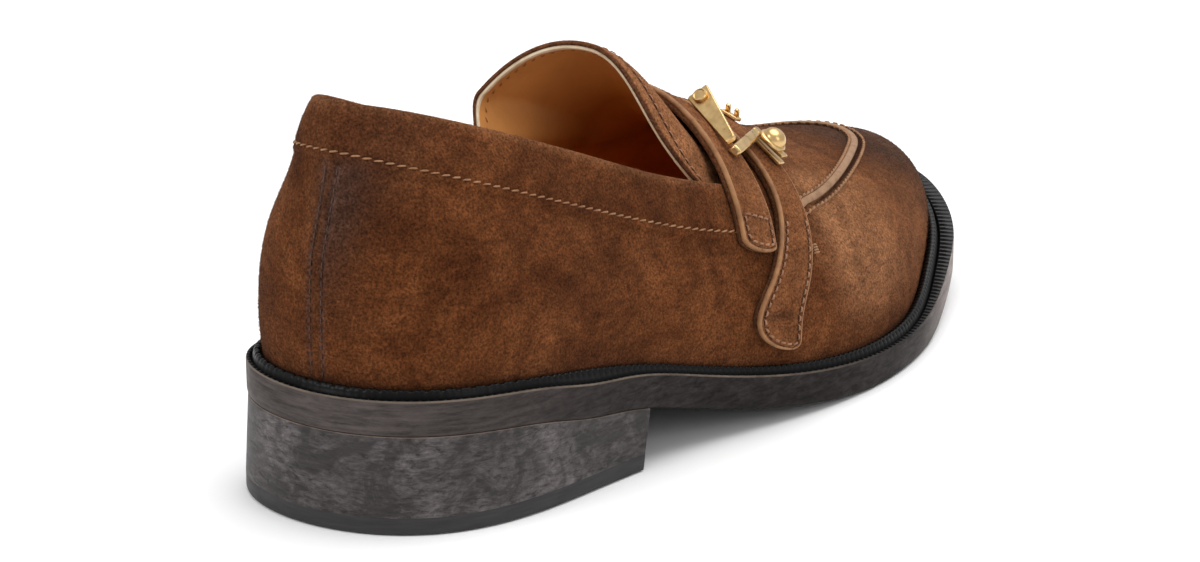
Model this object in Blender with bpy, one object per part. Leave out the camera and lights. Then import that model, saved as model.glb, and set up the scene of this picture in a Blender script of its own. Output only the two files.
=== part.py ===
"""Buckle loafer: a man's right shoe, EU 42, in metres with +Z up, +X to its outer side and +Y to its toe.

Every piece is worked out from one last: a table of sections along the sole, and a rib at each
section that climbs from the feather line to the top of the foot. The origin is on the floor, in
the middle of the shoe's box.
"""
import math
from collections import namedtuple

import bmesh
import bpy
import numpy as np
from mathutils import Vector

# Driving sizes, in millimetres
MM = 0.001
SOLE_LENGTH = 300.0
SOLE_THICKNESS = 10.7
WELT_THICKNESS = 3.6
HEEL_BREAST_TOP = 91.0
HEEL_BREAST_FOOT = 87.0
HEEL_INSET = 0.4
HEEL_FLARE = 1.2
LIFT_THICKNESS = 5.0
EDGE_BEVEL = 0.8
WALL = 2.0
INSOLE_THICKNESS = 3.0
TONGUE_THICKNESS = 2.4
STRAP_THICKNESS = 3.0
FIT = 0.3
STRAP_FIT = 0.5

# The collar band is a step in the wall, and the apron seam is a raised cord. Along the sole, the
# step fades out and the cord rises before and after the straps, and the throat ends the collar.
BAND_STEP = 0.8
BAND_FADE = (138.0, 128.0)
SEAM_HEIGHT = 1.5
SEAM_HALF_WIDTH = 0.016
SEAM_CHANGE = (140.0, 175.0)
CORD_RISE = (175.0, 186.0)
THROAT_Y = 150.0
APRON_RIM = 0.3

# The storm welt's bead beside the upper
BEAD_WIDTH = 2.8
BEAD_HEIGHT = 2.2
BEAD_GAP = 0.9

# Mesh density
COLUMNS = 40
THROAT_COLUMN = 20
SIDE_ROWS = 7
CAP_ROWS = 5
STRAP_ROWS, STRAP_STRIPS = 26, 4
TONGUE_ROWS, TONGUE_STRIPS = 9, 22
TURNED_SIDES = 24

# Sections of the last, heel to toe. y: place along the sole. centre, half: middle and half width
# of the welt's edge. welt: height of the welt's top. margin: welt seen outside the upper.
# spine_x, spine_y: where the section's rib meets the top of the foot. bulge: swell of the side.
# lift, shoulder: fullness of the side and of the top. band: height of the collar's lower seam.
# top: height of the collar. apron: place of the apron's seam, from 0 at the spine to 1 at the feather.
SECTION_COLUMNS = ("y", "centre", "half", "welt", "margin", "spine_x", "spine_y", "bulge", "lift",
                   "shoulder", "band", "top", "apron")
SECTIONS = (
    (0.0, -5.0, 0.0, 39.0, 5.0, -8.0, 21.5, 5.5, 0.45, 0.45, 98.5, 115.0, 0.75),
    (15.0, -3.8, 33.5, 38.7, 4.8, -7.0, 27.5, 5.5, 0.45, 0.50, 97.5, 114.0, 0.75),
    (45.0, 0.5, 42.0, 36.8, 4.2, -5.0, 47.0, 5.0, 0.50, 0.55, 89.5, 106.0, 0.75),
    (80.0, 4.8, 41.0, 31.5, 3.6, -3.0, 80.0, 4.0, 0.50, 0.60, 76.5, 91.5, 0.75),
    (120.0, 8.5, 43.5, 20.3, 3.4, -1.0, 120.0, 4.0, 0.50, 0.52, 62.5, 75.0, 0.75),
    (150.0, 10.0, 49.0, 14.0, 4.0, 0.0, 150.0, 4.0, 0.50, 0.46, 56.0, 67.0, 0.75),
    (190.0, 8.0, 54.0, 10.3, 5.5, -3.0, 190.0, 4.0, 0.54, 0.58, 54.0, 60.0, 0.685),
    (220.0, 4.2, 52.0, 10.4, 6.5, -6.0, 212.0, 4.0, 0.60, 0.68, 54.0, 60.0, 0.60),
    (250.0, -0.5, 44.5, 14.0, 8.0, -7.5, 226.0, 4.0, 0.62, 0.68, 54.0, 60.0, 0.535),
    (275.0, -5.2, 35.7, 19.5, 9.0, -8.0, 232.0, 4.0, 0.62, 0.66, 54.0, 60.0, 0.505),
    (290.0, -8.0, 24.5, 24.0, 9.5, -8.0, 234.0, 4.0, 0.62, 0.66, 54.0, 60.0, 0.495),
    (300.0, -9.3, 0.0, 28.5, 9.5, -8.0, 235.0, 4.0, 0.62, 0.66, 54.0, 60.0, 0.487),
)

# Top of the foot along the middle of the last: the collar's part is open on the shoe
RIDGE_COLUMNS = ("y", "z")
RIDGE = (
    (20.0, 122.0),
    (60.0, 119.0),
    (100.0, 111.5),
    (130.0, 99.0),
    (150.0, 87.0),
    (165.0, 80.0),
    (185.0, 71.8),
    (205.0, 64.5),
    (225.0, 57.8),
    (245.0, 52.8),
)

# The two straps, from an end up to the ridge. v: place on the rib. rear: the strap's rear edge
# along the sole. width: how far forward its front edge is.
STRAP_COLUMNS = ("v", "rear", "width")
REAR_STRAP = (
    (0.31, 132.4, 13.2),
    (0.43, 135.4, 14.0),
    (0.57, 138.8, 13.8),
    (0.75, 141.5, 14.0),
    (1.00, 144.5, 14.0),
)
FRONT_STRAP = (
    (0.06, 131.5, 17.5),
    (0.15, 133.6, 17.0),
    (0.24, 141.0, 15.4),
    (0.34, 148.8, 13.8),
    (0.46, 156.0, 11.6),
    (0.60, 160.0, 11.0),
    (0.80, 161.5, 11.5),
    (1.00, 162.5, 12.5),
)
FRONT_STRAP_INNER_END = 0.30

# The tongue, from its root under the vamp to its free edge. row: 0 at the root, 1 at the edge.
# y: its middle line. ahead, back: how far its outer side lies forward of that and its inner side
# behind. outer, inner: places of its side edges on the ribs. middle, side: how far its middle and
# its side edges stand out of the last.
TONGUE_COLUMNS = ("row", "y", "ahead", "back", "outer", "inner", "middle", "side")
TONGUE = (
    (0.00, 163.0, 0.0, 0.0, 0.66, 0.74, -2.8, -2.8),
    (0.25, 152.0, 1.0, 2.0, 0.55, 0.62, -2.8, -2.8),
    (0.50, 142.0, 4.0, 7.0, 0.48, 0.52, -0.2, -3.0),
    (0.75, 131.0, 9.0, 16.0, 0.45, 0.44, 5.4, -3.0),
    (1.00, 122.5, 14.0, 26.0, 0.44, 0.40, 6.6, -2.6),
)
TONGUE_TUCK = (0.90, 0.68)
TONGUE_OUTER_TUCK = 0.83

# The clasp on the straps. y, v: place on the last. height: of the piece's middle above the strap.
Place = namedtuple("Place", "y v height")
LEVER_TOP = Place(154.6, 0.850, 4.35)
LEVER_FOOT = Place(145.0, 0.620, 3.35)
HOOK_FOOT = Place(145.0, 0.593, 2.2)
HOOK_BEND = Place(166.4, 0.7005, 2.6)
HOOK_TIP = Place(168.4, 0.604, 2.6)
KEEPER = Place(172.0, 0.835, 0.9)
LEVER_WIDTHS = (7.0, 3.2)
LEVER_THICKNESS = 1.8
LEVER_TILT = math.radians(67.0)
PIN_RADIUS = 2.2
PIN_HEIGHT = 1.2
PIN_FROM_END = 2.9
HOOK_WIDTH = 3.4
HOOK_THICKNESS = 3.0
LEG_THICKNESS = 1.3
LOWER_LEG_SHARE = 1.07
LIP_DROP = 0.6
STUD_RADIUS = 4.4
STUD_HEIGHT = 3.9
STUD_ON_LEG = 0.46
KEEPER_SIZE = (6.0, 4.0, 1.2)
LUG_SIZE = (1.5, 1.3, 3.6)
LUG_SPACING = 3.3
LUG_LEAN = math.radians(40.0)


def spline(knots, values, flat_ends):
    """Cubic spline through the rows of a table; flat_ends makes its slope zero at both ends."""
    count = len(knots)
    gaps = np.diff(knots)
    slopes = np.diff(values) / gaps
    system = np.eye(count)
    right = np.zeros(count)
    for i in range(1, count - 1):
        system[i, i - 1:i + 2] = gaps[i - 1], 2.0 * (gaps[i - 1] + gaps[i]), gaps[i]
        right[i] = 6.0 * (slopes[i] - slopes[i - 1])
    if flat_ends:
        system[0, :2] = 2.0 * gaps[0], gaps[0]
        right[0] = 6.0 * slopes[0]
        system[-1, -2:] = gaps[-1], 2.0 * gaps[-1]
        right[-1] = -6.0 * slopes[-1]
    curve = np.linalg.solve(system, right)

    def value(at):
        i = int(np.clip(np.searchsorted(knots, at) - 1, 0, count - 2))
        ahead = (knots[i + 1] - at) / gaps[i]
        behind = 1.0 - ahead
        bend = (ahead ** 3 - ahead) * curve[i] + (behind ** 3 - behind) * curve[i + 1]
        return float(ahead * values[i] + behind * values[i + 1] + bend * gaps[i] ** 2 / 6.0)

    return value


def turn_at(y):
    """Place round the half outline, 0 at the heel's back and 1 at the toe, of a length along the sole."""
    return math.acos(1.0 - 2.0 * y / SOLE_LENGTH) / math.pi


def read_sections():
    """One spline per column of the section table, along the half outline."""
    table = np.array(SECTIONS)
    knots = np.array([turn_at(y) for y in table[:, 0]])
    return {name: spline(knots, table[:, i], name != "half")
            for i, name in enumerate(SECTION_COLUMNS)}


def table_spline(columns, rows, name):
    """Spline of one named column of a table over its first column."""
    table = np.array(rows)
    return spline(table[:, 0], table[:, columns.index(name)], False)


COLUMN = read_sections()
RIDGE_Z = table_spline(RIDGE_COLUMNS, RIDGE, "z")


def half_turn(turn):
    """Fold a place on the whole outline (0 to 2) to its half: the place, and +1 outer or -1 inner side."""
    turn = turn % 2.0
    if turn <= 1.0:
        return turn, 1.0
    return 2.0 - turn, -1.0


def welt_edge(turn):
    t, side = half_turn(turn)
    y = SOLE_LENGTH * (1.0 - math.cos(math.pi * t)) / 2.0
    return Vector((COLUMN["centre"](t) + side * COLUMN["half"](t), y, 0.0))


def outline(turn, inset):
    """Point of the sole's outline, moved in square to the welt's edge."""
    step = 0.002
    along = (welt_edge(turn + step) - welt_edge(turn - step)).normalized()
    return welt_edge(turn) + Vector((-along.y, along.x, 0.0)) * inset


def welt_top(t):
    return COLUMN["welt"](t)


def sole_foot(t):
    """Height of the outsole's tread: flat on the floor at the ball, up at the arch and the toe."""
    return max(0.0, welt_top(t) - SOLE_THICKNESS)


def last_point(turn, v):
    """Point of the last on the rib at a place of the outline: v is 0 at the feather, 1 at the spine."""
    t, side = half_turn(turn)
    feather = outline(turn, COLUMN["margin"](t))
    feather.z = welt_top(t) + FIT
    spine_y = COLUMN["spine_y"](t)
    spine = Vector((COLUMN["spine_x"](t), spine_y, RIDGE_Z(spine_y)))
    out = Vector((feather.x - spine.x, feather.y - spine.y, 0.0))
    reach = out.length
    out.normalize()
    rise = spine.z - feather.z
    side_handle = feather + out * COLUMN["bulge"](t) + Vector((0.0, 0.0, rise * COLUMN["lift"](t)))
    top_handle = spine + out * reach * COLUMN["shoulder"](t)
    slope = (RIDGE_Z(spine_y + 1.0) - RIDGE_Z(spine_y - 1.0)) / 2.0
    top_handle.z += slope * (top_handle.y - spine.y)
    w = 1.0 - v
    return (feather * w ** 3 + side_handle * 3.0 * w * w * v
            + top_handle * 3.0 * w * v * v + spine * v ** 3)


def last_normal(turn, v):
    """Direction out of the last."""
    step = 0.004
    v = min(max(v, step), 1.0 - step)
    along = last_point(turn + step, v) - last_point(turn - step, v)
    up = last_point(turn, v + step) - last_point(turn, v - step)
    return along.cross(up).normalized()


def rib_place(turn, measure, target):
    """Place on a rib where a measure that grows along it reaches a target."""
    low, high = 0.0, 1.0
    for _ in range(30):
        middle = (low + high) / 2.0
        if measure(last_point(turn, middle)) < target:
            low = middle
        else:
            high = middle
    return (low + high) / 2.0


def height_place(turn, z):
    return rib_place(turn, lambda p: p.z, z)


def apron_place(turn):
    """Place of the apron's seam on a rib of the forefoot."""
    t, _ = half_turn(turn)
    spine = last_point(turn, 1.0)
    reach = (last_point(turn, 0.0) - spine).xy.length
    return rib_place(turn, lambda p: -(p - spine).xy.length, -COLUMN["apron"](t) * reach)


def ramp(value, start, end):
    """0 at start, 1 at end, straight between."""
    return min(max((value - start) / (end - start), 0.0), 1.0)


def seam_place(turn):
    """The collar's lower seam runs on as the apron's seam: they change over under the straps."""
    t, _ = half_turn(turn)
    collar_end, apron_start = SEAM_CHANGE
    mix = ramp(t, turn_at(collar_end), turn_at(apron_start))
    collar = height_place(turn, COLUMN["band"](t))
    return collar * (1.0 - mix) + apron_place(turn) * mix


def rim_place(turn):
    """The collar's edge on a rib, or on the forefoot a line just inside the apron's seam."""
    t, _ = half_turn(turn)
    if t <= turn_at(THROAT_Y) + 1e-6:
        return height_place(turn, COLUMN["top"](t))
    return seam_place(turn) + (1.0 - seam_place(turn)) * APRON_RIM


def relief(turn, v):
    """How far the wall stands out of the last: the collar band's step, or the apron seam's cord.

    Both are flat under the straps.
    """
    y = welt_edge(turn).y
    edge = (v - seam_place(turn)) / SEAM_HALF_WIDTH
    band = BAND_STEP * ramp(edge, -1.0, 0.0) * ramp(y, *BAND_FADE)
    cord = SEAM_HEIGHT * max(1.0 - abs(edge), 0.0) * ramp(y, *CORD_RISE)
    return band + cord


def lifted(turn, v, height):
    """Point at a height over the last's surface."""
    return last_point(turn, v) + last_normal(turn, v) * height


def look(name, colour, roughness, metallic=0.0):
    material = bpy.data.materials.new(name)
    material.use_nodes = True
    shader = material.node_tree.nodes["Principled BSDF"]
    shader.inputs["Base Color"].default_value = (*colour, 1.0)
    shader.inputs["Roughness"].default_value = roughness
    shader.inputs["Metallic"].default_value = metallic
    return material


def make(name, points, faces, colour, roughness, metallic=0.0, wall=None):
    """Object from points in millimetres, with its round parts smooth.

    A closed body gets its faces turned out. A sheet, whose faces look out already, gets a wall
    of the given thickness, into the shoe.
    """
    mesh = bpy.data.meshes.new(name)
    mesh.from_pydata([point * MM for point in points], [], faces)
    if wall is None:
        body = bmesh.new()
        body.from_mesh(mesh)
        bmesh.ops.recalc_face_normals(body, faces=body.faces)
        body.to_mesh(mesh)
        body.free()
    mesh.shade_smooth()
    mesh.set_sharp_from_angle(angle=math.radians(40.0))
    mesh.materials.append(look(name, colour, roughness, metallic))
    piece = bpy.data.objects.new(name, mesh)
    bpy.context.scene.collection.objects.link(piece)
    if wall is not None:
        thickness = piece.modifiers.new("wall", "SOLIDIFY")
        thickness.thickness = wall * MM
        thickness.offset = -1.0
        thickness.use_even_offset = True
        thickness.use_quality_normals = True
    return piece


def ring(inset, height, y_end=SOLE_LENGTH):
    """Closed outline from the heel's back to y_end and back along the inner side.

    inset and height are functions of the place on the half outline.
    """
    end = turn_at(y_end)
    places = [end * k / COLUMNS for k in range(COLUMNS + 1)]
    inner = places[-2:0:-1] if y_end == SOLE_LENGTH else places[:0:-1]
    points = []
    for turn in places + [2.0 - t for t in inner]:
        t, _ = half_turn(turn)
        point = outline(turn, inset(t))
        point.z = height(t)
        points.append(point)
    return points


def join_rings(rings, closed):
    """Faces between rings of equal length; closed joins the last ring to the first."""
    size = len(rings[0])
    points = [point for one in rings for point in one]
    faces = []
    for level in range(len(rings) if closed else len(rings) - 1):
        low = level * size
        high = (level + 1) % len(rings) * size
        for i in range(size):
            j = (i + 1) % size
            faces.append((low + i, low + j, high + j, high + i))
    return points, faces


def cross_caps(faces, size, start):
    """Close a ring with strips across the shoe."""
    for i in range(COLUMNS):
        corners = [i, i + 1, (size - i - 1) % size, (size - i) % size]
        faces.append(tuple(start + c for c in dict.fromkeys(corners)))


def plate(name, rings, colour, roughness):
    """Solid slab from rings that run from its foot up."""
    points, faces = join_rings(rings, False)
    size = len(rings[0])
    cross_caps(faces, size, 0)
    cross_caps(faces, size, size * (len(rings) - 1))
    return make(name, points, faces, colour, roughness)


def level(value):
    return lambda t: value


def make_outsole():
    top = lambda t: welt_top(t) - WELT_THICKNESS - FIT
    return plate("outsole", [
        ring(level(FIT + EDGE_BEVEL), sole_foot),
        ring(level(FIT), lambda t: sole_foot(t) + EDGE_BEVEL),
        ring(level(FIT), lambda t: top(t) - EDGE_BEVEL),
        ring(level(FIT + EDGE_BEVEL), top),
    ], (0.05, 0.045, 0.045), 0.6)


def make_welt():
    """Storm welt: flat outer band, groove, bead against the upper, and a flange under the wall."""
    margin = COLUMN["margin"]
    bead_width = lambda t: min(BEAD_WIDTH, margin(t) / 2.0)
    bead_in = lambda t: margin(t) - BEAD_GAP
    above = lambda rise: lambda t: welt_top(t) + rise
    rings = [
        ring(level(0.0), above(-WELT_THICKNESS)),
        ring(level(0.0), above(-EDGE_BEVEL)),
        ring(level(EDGE_BEVEL), above(0.0)),
        ring(lambda t: bead_in(t) - bead_width(t), above(0.0)),
        ring(lambda t: bead_in(t) - 0.75 * bead_width(t), above(0.75 * BEAD_HEIGHT)),
        ring(lambda t: bead_in(t) - 0.35 * bead_width(t), above(BEAD_HEIGHT)),
        ring(bead_in, above(0.6 * BEAD_HEIGHT)),
        ring(lambda t: bead_in(t) + 0.1, above(0.0)),
        ring(lambda t: margin(t) + WALL + FIT, above(0.0)),
        ring(lambda t: margin(t) + WALL + FIT, above(-WELT_THICKNESS)),
    ]
    points, faces = join_rings(rings, True)
    return make("welt", points, faces, (0.03, 0.025, 0.022), 0.55)


def make_heel():
    """Stacked heel and the top lift under it, wider at the floor, with a leaning breast."""
    under_sole = lambda t: sole_foot(t) - FIT
    foot_inset = HEEL_INSET - HEEL_FLARE
    lean = (HEEL_BREAST_TOP - HEEL_BREAST_FOOT) * LIFT_THICKNESS / sole_foot(0.0)
    lift_breast = HEEL_BREAST_FOOT + lean
    plate("heel_stack", [
        ring(level(foot_inset), level(LIFT_THICKNESS + FIT), lift_breast),
        ring(level(HEEL_INSET), under_sole, HEEL_BREAST_TOP),
    ], (0.09, 0.085, 0.085), 0.7)
    plate("top_lift", [
        ring(level(foot_inset + EDGE_BEVEL), level(0.0), HEEL_BREAST_FOOT - EDGE_BEVEL),
        ring(level(foot_inset), level(EDGE_BEVEL), HEEL_BREAST_FOOT),
        ring(level(foot_inset), level(LIFT_THICKNESS), lift_breast),
    ], (0.035, 0.032, 0.032), 0.5)


def make_insole():
    """Sock and insole, filling the welt's ring up to the foot bed."""
    inset = lambda t: COLUMN["margin"](t) + WALL + 3.0 * FIT
    return plate("insole", [
        ring(inset, lambda t: welt_top(t) - WELT_THICKNESS),
        ring(inset, lambda t: welt_top(t) + INSOLE_THICKNESS),
    ], (0.35, 0.19, 0.08), 0.6)


def rib_rows(turn, forefoot):
    """Places of a rib's points: even up the side, close at the seam, then to the rim and the spine."""
    seam = seam_place(turn)
    rim = rim_place(turn)
    foot = seam - SEAM_HALF_WIDTH
    rows = [foot * r / (SIDE_ROWS - 1) for r in range(SIDE_ROWS)]
    rows += [seam, seam + SEAM_HALF_WIDTH]
    rows += [rows[-1] + (rim - rows[-1]) * part for part in (0.5, 1.0)]
    if forefoot:
        rows += [rim + (1.0 - rim) * r / CAP_ROWS for r in range(1, CAP_ROWS + 1)]
    return rows


def make_upper():
    """Hollow upper: one sheet over the last, open at the collar and underneath."""
    around = 2 * COLUMNS
    points, faces, index = [], [], []
    for k in range(around):
        turn = k / COLUMNS
        mirror = (around - k) % around
        forefoot = min(k, mirror) >= THROAT_COLUMN
        column = []
        rows = rib_rows(turn, forefoot)
        for r, v in enumerate(rows):
            if r == len(rows) - 1 and forefoot and k > COLUMNS:
                column.append(index[mirror][-1])
                continue
            column.append(len(points))
            points.append(lifted(turn, v, relief(turn, v)))
        index.append(column)
    for k in range(around):
        near, far = index[k], index[(k + 1) % around]
        for r in range(min(len(near), len(far)) - 1):
            corners = (near[r], far[r], far[r + 1], near[r + 1])
            faces.append(tuple(dict.fromkeys(corners)))
    return make("upper", points, faces, (0.16, 0.065, 0.025), 0.9, wall=WALL)


def strap_place(y, v):
    """Place of a strap's point on the last: v runs past 1 over the ridge to the inner side."""
    if v <= 1.0:
        return turn_at(y), v
    return 2.0 - turn_at(y), 2.0 - v


def make_strap(name, rows, inner_end, tip_round):
    """A strap over the upper, cut from the last's own surface. tip_round rounds its outer end."""
    along, across = STRAP_ROWS, STRAP_STRIPS
    rear = table_spline(STRAP_COLUMNS, rows, "rear")
    width = table_spline(STRAP_COLUMNS, rows, "width")
    start, end = rows[0][0], 2.0 - inner_end
    points, faces = [], []
    for i in range(along + 1):
        v = start + (end - start) * i / along
        fold = v if v <= 1.0 else 2.0 - v
        narrow = 1.0
        if v - start < tip_round:
            narrow = math.sqrt(1.0 - (1.0 - (v - start) / tip_round) ** 2 * 0.9)
        for j in range(across + 1):
            q = 0.5 + (j / across - 0.5) * narrow
            y = rear(fold) + width(fold) * q
            turn, place = strap_place(y, v)
            points.append(lifted(turn, place, STRAP_FIT + STRAP_THICKNESS))
    for i in range(along):
        for j in range(across):
            a = i * (across + 1) + j
            faces.append((a, a + 1, a + across + 2, a + across + 1))
    return make(name, points, faces, (0.19, 0.08, 0.03), 0.85, wall=STRAP_THICKNESS)


def make_tongue():
    """Arched tongue, from under the vamp up to its free edge; both its sides tuck into the collar."""
    along, across = TONGUE_ROWS, TONGUE_STRIPS
    y, ahead, back, outer, inner, middle, side = (
        table_spline(TONGUE_COLUMNS, TONGUE, name) for name in TONGUE_COLUMNS[1:])
    points, faces = [], []
    for i in range(along + 1):
        s = i / along
        for j in range(across + 1):
            q = 2.0 * j / across - 1.0
            if q >= 0.0:
                turn, place = strap_place(y(s) + ahead(s) * q ** 3, 1.0 - q * (1.0 - outer(s)))
                crown = math.cos(min(q / TONGUE_OUTER_TUCK, 1.0) * math.pi / 2.0) ** (2.0 * s * s)
            else:
                turn, place = strap_place(y(s) + back(s) * q, 1.0 - q * (1.0 - inner(s)))
                crown = math.sin(ramp(-q, *TONGUE_TUCK) * math.pi / 2.0) ** 2
            points.append(lifted(turn, place, side(s) + (middle(s) - side(s)) * crown))
    for i in range(along):
        for j in range(across):
            a = i * (across + 1) + j
            faces.append((a, a + across + 1, a + across + 2, a + 1))
    return make("tongue", points, faces, (0.30, 0.15, 0.06), 0.7, wall=TONGUE_THICKNESS)


def strap_frame(place):
    """Point over a strap, with the directions forward along the shoe and out of the strap."""
    turn, v = strap_place(place.y, place.v)
    out = last_normal(turn, v)
    forward = Vector((0.0, 1.0, 0.0))
    forward = (forward - out * forward.dot(out)).normalized()
    point = lifted(turn, v, STRAP_FIT + STRAP_THICKNESS + place.height)
    return point, forward, out


def bar_mesh(stations):
    """Closed bar through stations of (centre, side, normal, width, thickness)."""
    points, faces = [], []
    for centre, side, normal, width, thickness in stations:
        across, deep = side * (width / 2.0), normal * (thickness / 2.0)
        points += [centre - across - deep, centre + across - deep,
                   centre + across + deep, centre - across + deep]
    for i in range(len(stations) - 1):
        for j in range(4):
            k = (j + 1) % 4
            faces.append((4 * i + j, 4 * i + k, 4 * i + 4 + k, 4 * i + 4 + j))
    end = 4 * len(stations) - 4
    faces += [(0, 1, 2, 3), (end, end + 1, end + 2, end + 3)]
    return points, faces


BRASS = (0.55, 0.36, 0.14)


def soften(piece, width):
    """Round a hard piece's edges."""
    bevel = piece.modifiers.new("edges", "BEVEL")
    bevel.width = width * MM
    bevel.segments = 2
    bevel.limit_method = "ANGLE"


def fuse(piece, other):
    """Join another body to a piece, which then stands for both."""
    other.hide_render = True
    other.display_type = "WIRE"
    union = piece.modifiers.new(other.name, "BOOLEAN")
    union.operation = "UNION"
    union.object = other


def turned(name, centre, axis, profile, colour, roughness, metallic):
    """Solid turned round an axis. profile holds (radius, height) from the foot's rim to the crown."""
    sides = TURNED_SIDES
    spin = axis.to_track_quat("Z", "Y").to_matrix()
    points = [centre + spin @ Vector((0.0, 0.0, profile[0][1]))]
    for radius, height in profile:
        for i in range(sides):
            swing = 2.0 * math.pi * i / sides
            ring_point = Vector((radius * math.cos(swing), radius * math.sin(swing), height))
            points.append(centre + spin @ ring_point)
    points.append(centre + spin @ Vector((0.0, 0.0, profile[-1][1])))
    crown = len(points) - 1
    top = 1 + (len(profile) - 1) * sides
    faces = []
    for i in range(sides):
        j = (i + 1) % sides
        faces.append((0, 1 + i, 1 + j))
        faces.append((crown, top + i, top + j))
        for k in range(len(profile) - 1):
            a = 1 + k * sides
            faces.append((a + i, a + j, a + sides + j, a + sides + i))
    return make(name, points, faces, colour, roughness, metallic)


def make_lever():
    """Tapered lever on the rear strap, tilted to the back, with the head of its pin."""
    top, forward, out = strap_frame(LEVER_TOP)
    foot, _, _ = strap_frame(LEVER_FOOT)
    along = (foot - top).normalized()
    side = forward * math.cos(LEVER_TILT) + out * math.sin(LEVER_TILT)
    side = (side - along * side.dot(along)).normalized()
    face = along.cross(side)
    stations = [(top, side, face, LEVER_WIDTHS[0], LEVER_THICKNESS),
                (foot, side, face, LEVER_WIDTHS[1], LEVER_THICKNESS)]
    soften(make("lever", *bar_mesh(stations), BRASS, 0.35, 1.0), 0.4)
    seat = top + along * PIN_FROM_END + face * (LEVER_THICKNESS / 2.0 + FIT)
    turned("lever_pin", seat, face, [
        (PIN_RADIUS, 0.0),
        (PIN_RADIUS, PIN_HEIGHT * 0.6),
        (PIN_RADIUS * 0.8, PIN_HEIGHT),
    ], BRASS, 0.35, 1.0)


def make_hook():
    """Bent hook from the lever to the front strap, where its two legs run down the strap."""
    foot, _, out_foot = strap_frame(HOOK_FOOT)
    bend, forward, out = strap_frame(HOOK_BEND)
    tip, _, out_tip = strap_frame(HOOK_TIP)
    cross = (bend - foot).normalized()
    down = (tip - bend).normalized()
    bar = [
        (foot, down, out_foot, HOOK_WIDTH, HOOK_THICKNESS),
        (bend + cross * HOOK_WIDTH / 2.0, down, out, HOOK_WIDTH, HOOK_THICKNESS),
    ]
    hook = make("hook", *bar_mesh(bar), BRASS, 0.35, 1.0)
    rise = (HOOK_THICKNESS - LEG_THICKNESS) / 2.0
    for leg_name, lift, reach, drop in (("upper_leg", rise, 1.0, 0.0),
                                        ("lower_leg", -rise, LOWER_LEG_SHARE, LIP_DROP)):
        end = bend + (tip - bend) * reach
        fuse(hook, make(leg_name, *bar_mesh([
            (bend - down * HOOK_WIDTH * 0.3 + out * lift, forward, out, HOOK_WIDTH, LEG_THICKNESS),
            (end + out_tip * (lift - drop), forward, out_tip, HOOK_WIDTH, LEG_THICKNESS),
        ]), BRASS, 0.35, 1.0))
    axis = (out + out_tip).normalized()
    crown = bend + (tip - bend) * STUD_ON_LEG + axis * (HOOK_THICKNESS / 2.0 + 2.0 * FIT)
    turned("stud", crown, axis, [
        (STUD_RADIUS, 0.0),
        (STUD_RADIUS, 1.0),
        (STUD_RADIUS * 0.86, 1.2),
        (STUD_RADIUS * 0.80, STUD_HEIGHT * 0.5),
        (STUD_RADIUS * 0.60, STUD_HEIGHT * 0.8),
        (STUD_RADIUS * 0.30, STUD_HEIGHT * 0.97),
    ], BRASS, 0.35, 1.0)


def make_keeper():
    """Small plate on the front strap, below the ridge, with two lugs that lean to the back."""
    middle, forward, out = strap_frame(KEEPER)
    length, width, thickness = KEEPER_SIZE
    run = forward.cross(out)
    keeper = make("keeper", *bar_mesh([
        (middle - run * (length / 2.0), forward, out, width, thickness),
        (middle + run * (length / 2.0), forward, out, width, thickness),
    ]), BRASS, 0.35, 1.0)
    lug_width, lug_thickness, lug_length = LUG_SIZE
    rise = out * math.cos(LUG_LEAN) - forward * math.sin(LUG_LEAN)
    flat = forward * math.cos(LUG_LEAN) + out * math.sin(LUG_LEAN)
    for lug_name, place in (("lower_lug", -0.5), ("upper_lug", 0.5)):
        foot = middle + run * (LUG_SPACING * place) + forward * (width / 4.0)
        fuse(keeper, make(lug_name, *bar_mesh([
            (foot, run, flat, lug_width, lug_thickness),
            (foot + rise * lug_length, run, flat, lug_width, lug_thickness),
        ]), BRASS, 0.35, 1.0))


def place_on_floor():
    """Move the whole shoe so that the origin is on the floor in the middle of its box."""
    pieces = list(bpy.context.scene.objects)
    bpy.context.view_layer.update()
    corners = [Vector(corner) for piece in pieces for corner in piece.bound_box]
    middle_x = (min(c.x for c in corners) + max(c.x for c in corners)) / 2.0
    middle_y = (min(c.y for c in corners) + max(c.y for c in corners)) / 2.0
    for piece in pieces:
        piece.location = (-middle_x, -middle_y, 0.0)


def main():
    for thing in list(bpy.data.objects):
        bpy.data.objects.remove(thing)
    make_outsole()
    make_welt()
    make_heel()
    make_insole()
    make_upper()
    make_tongue()
    make_strap("rear_strap", REAR_STRAP, REAR_STRAP[0][0], 0.02)
    make_strap("front_strap", FRONT_STRAP, FRONT_STRAP_INNER_END, 0.08)
    make_lever()
    make_hook()
    make_keeper()
    place_on_floor()


main()
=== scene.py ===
"""Looks of the buckle loafer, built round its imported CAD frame: suede, lining, welt, heel and brass.

Lengths are in millimetres in the last's own frame, as in the part's source: y runs from the heel's
back to the toe, x to the outer side, z up from the floor. add_piece moves each piece to the row frame.
"""
import math

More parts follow.
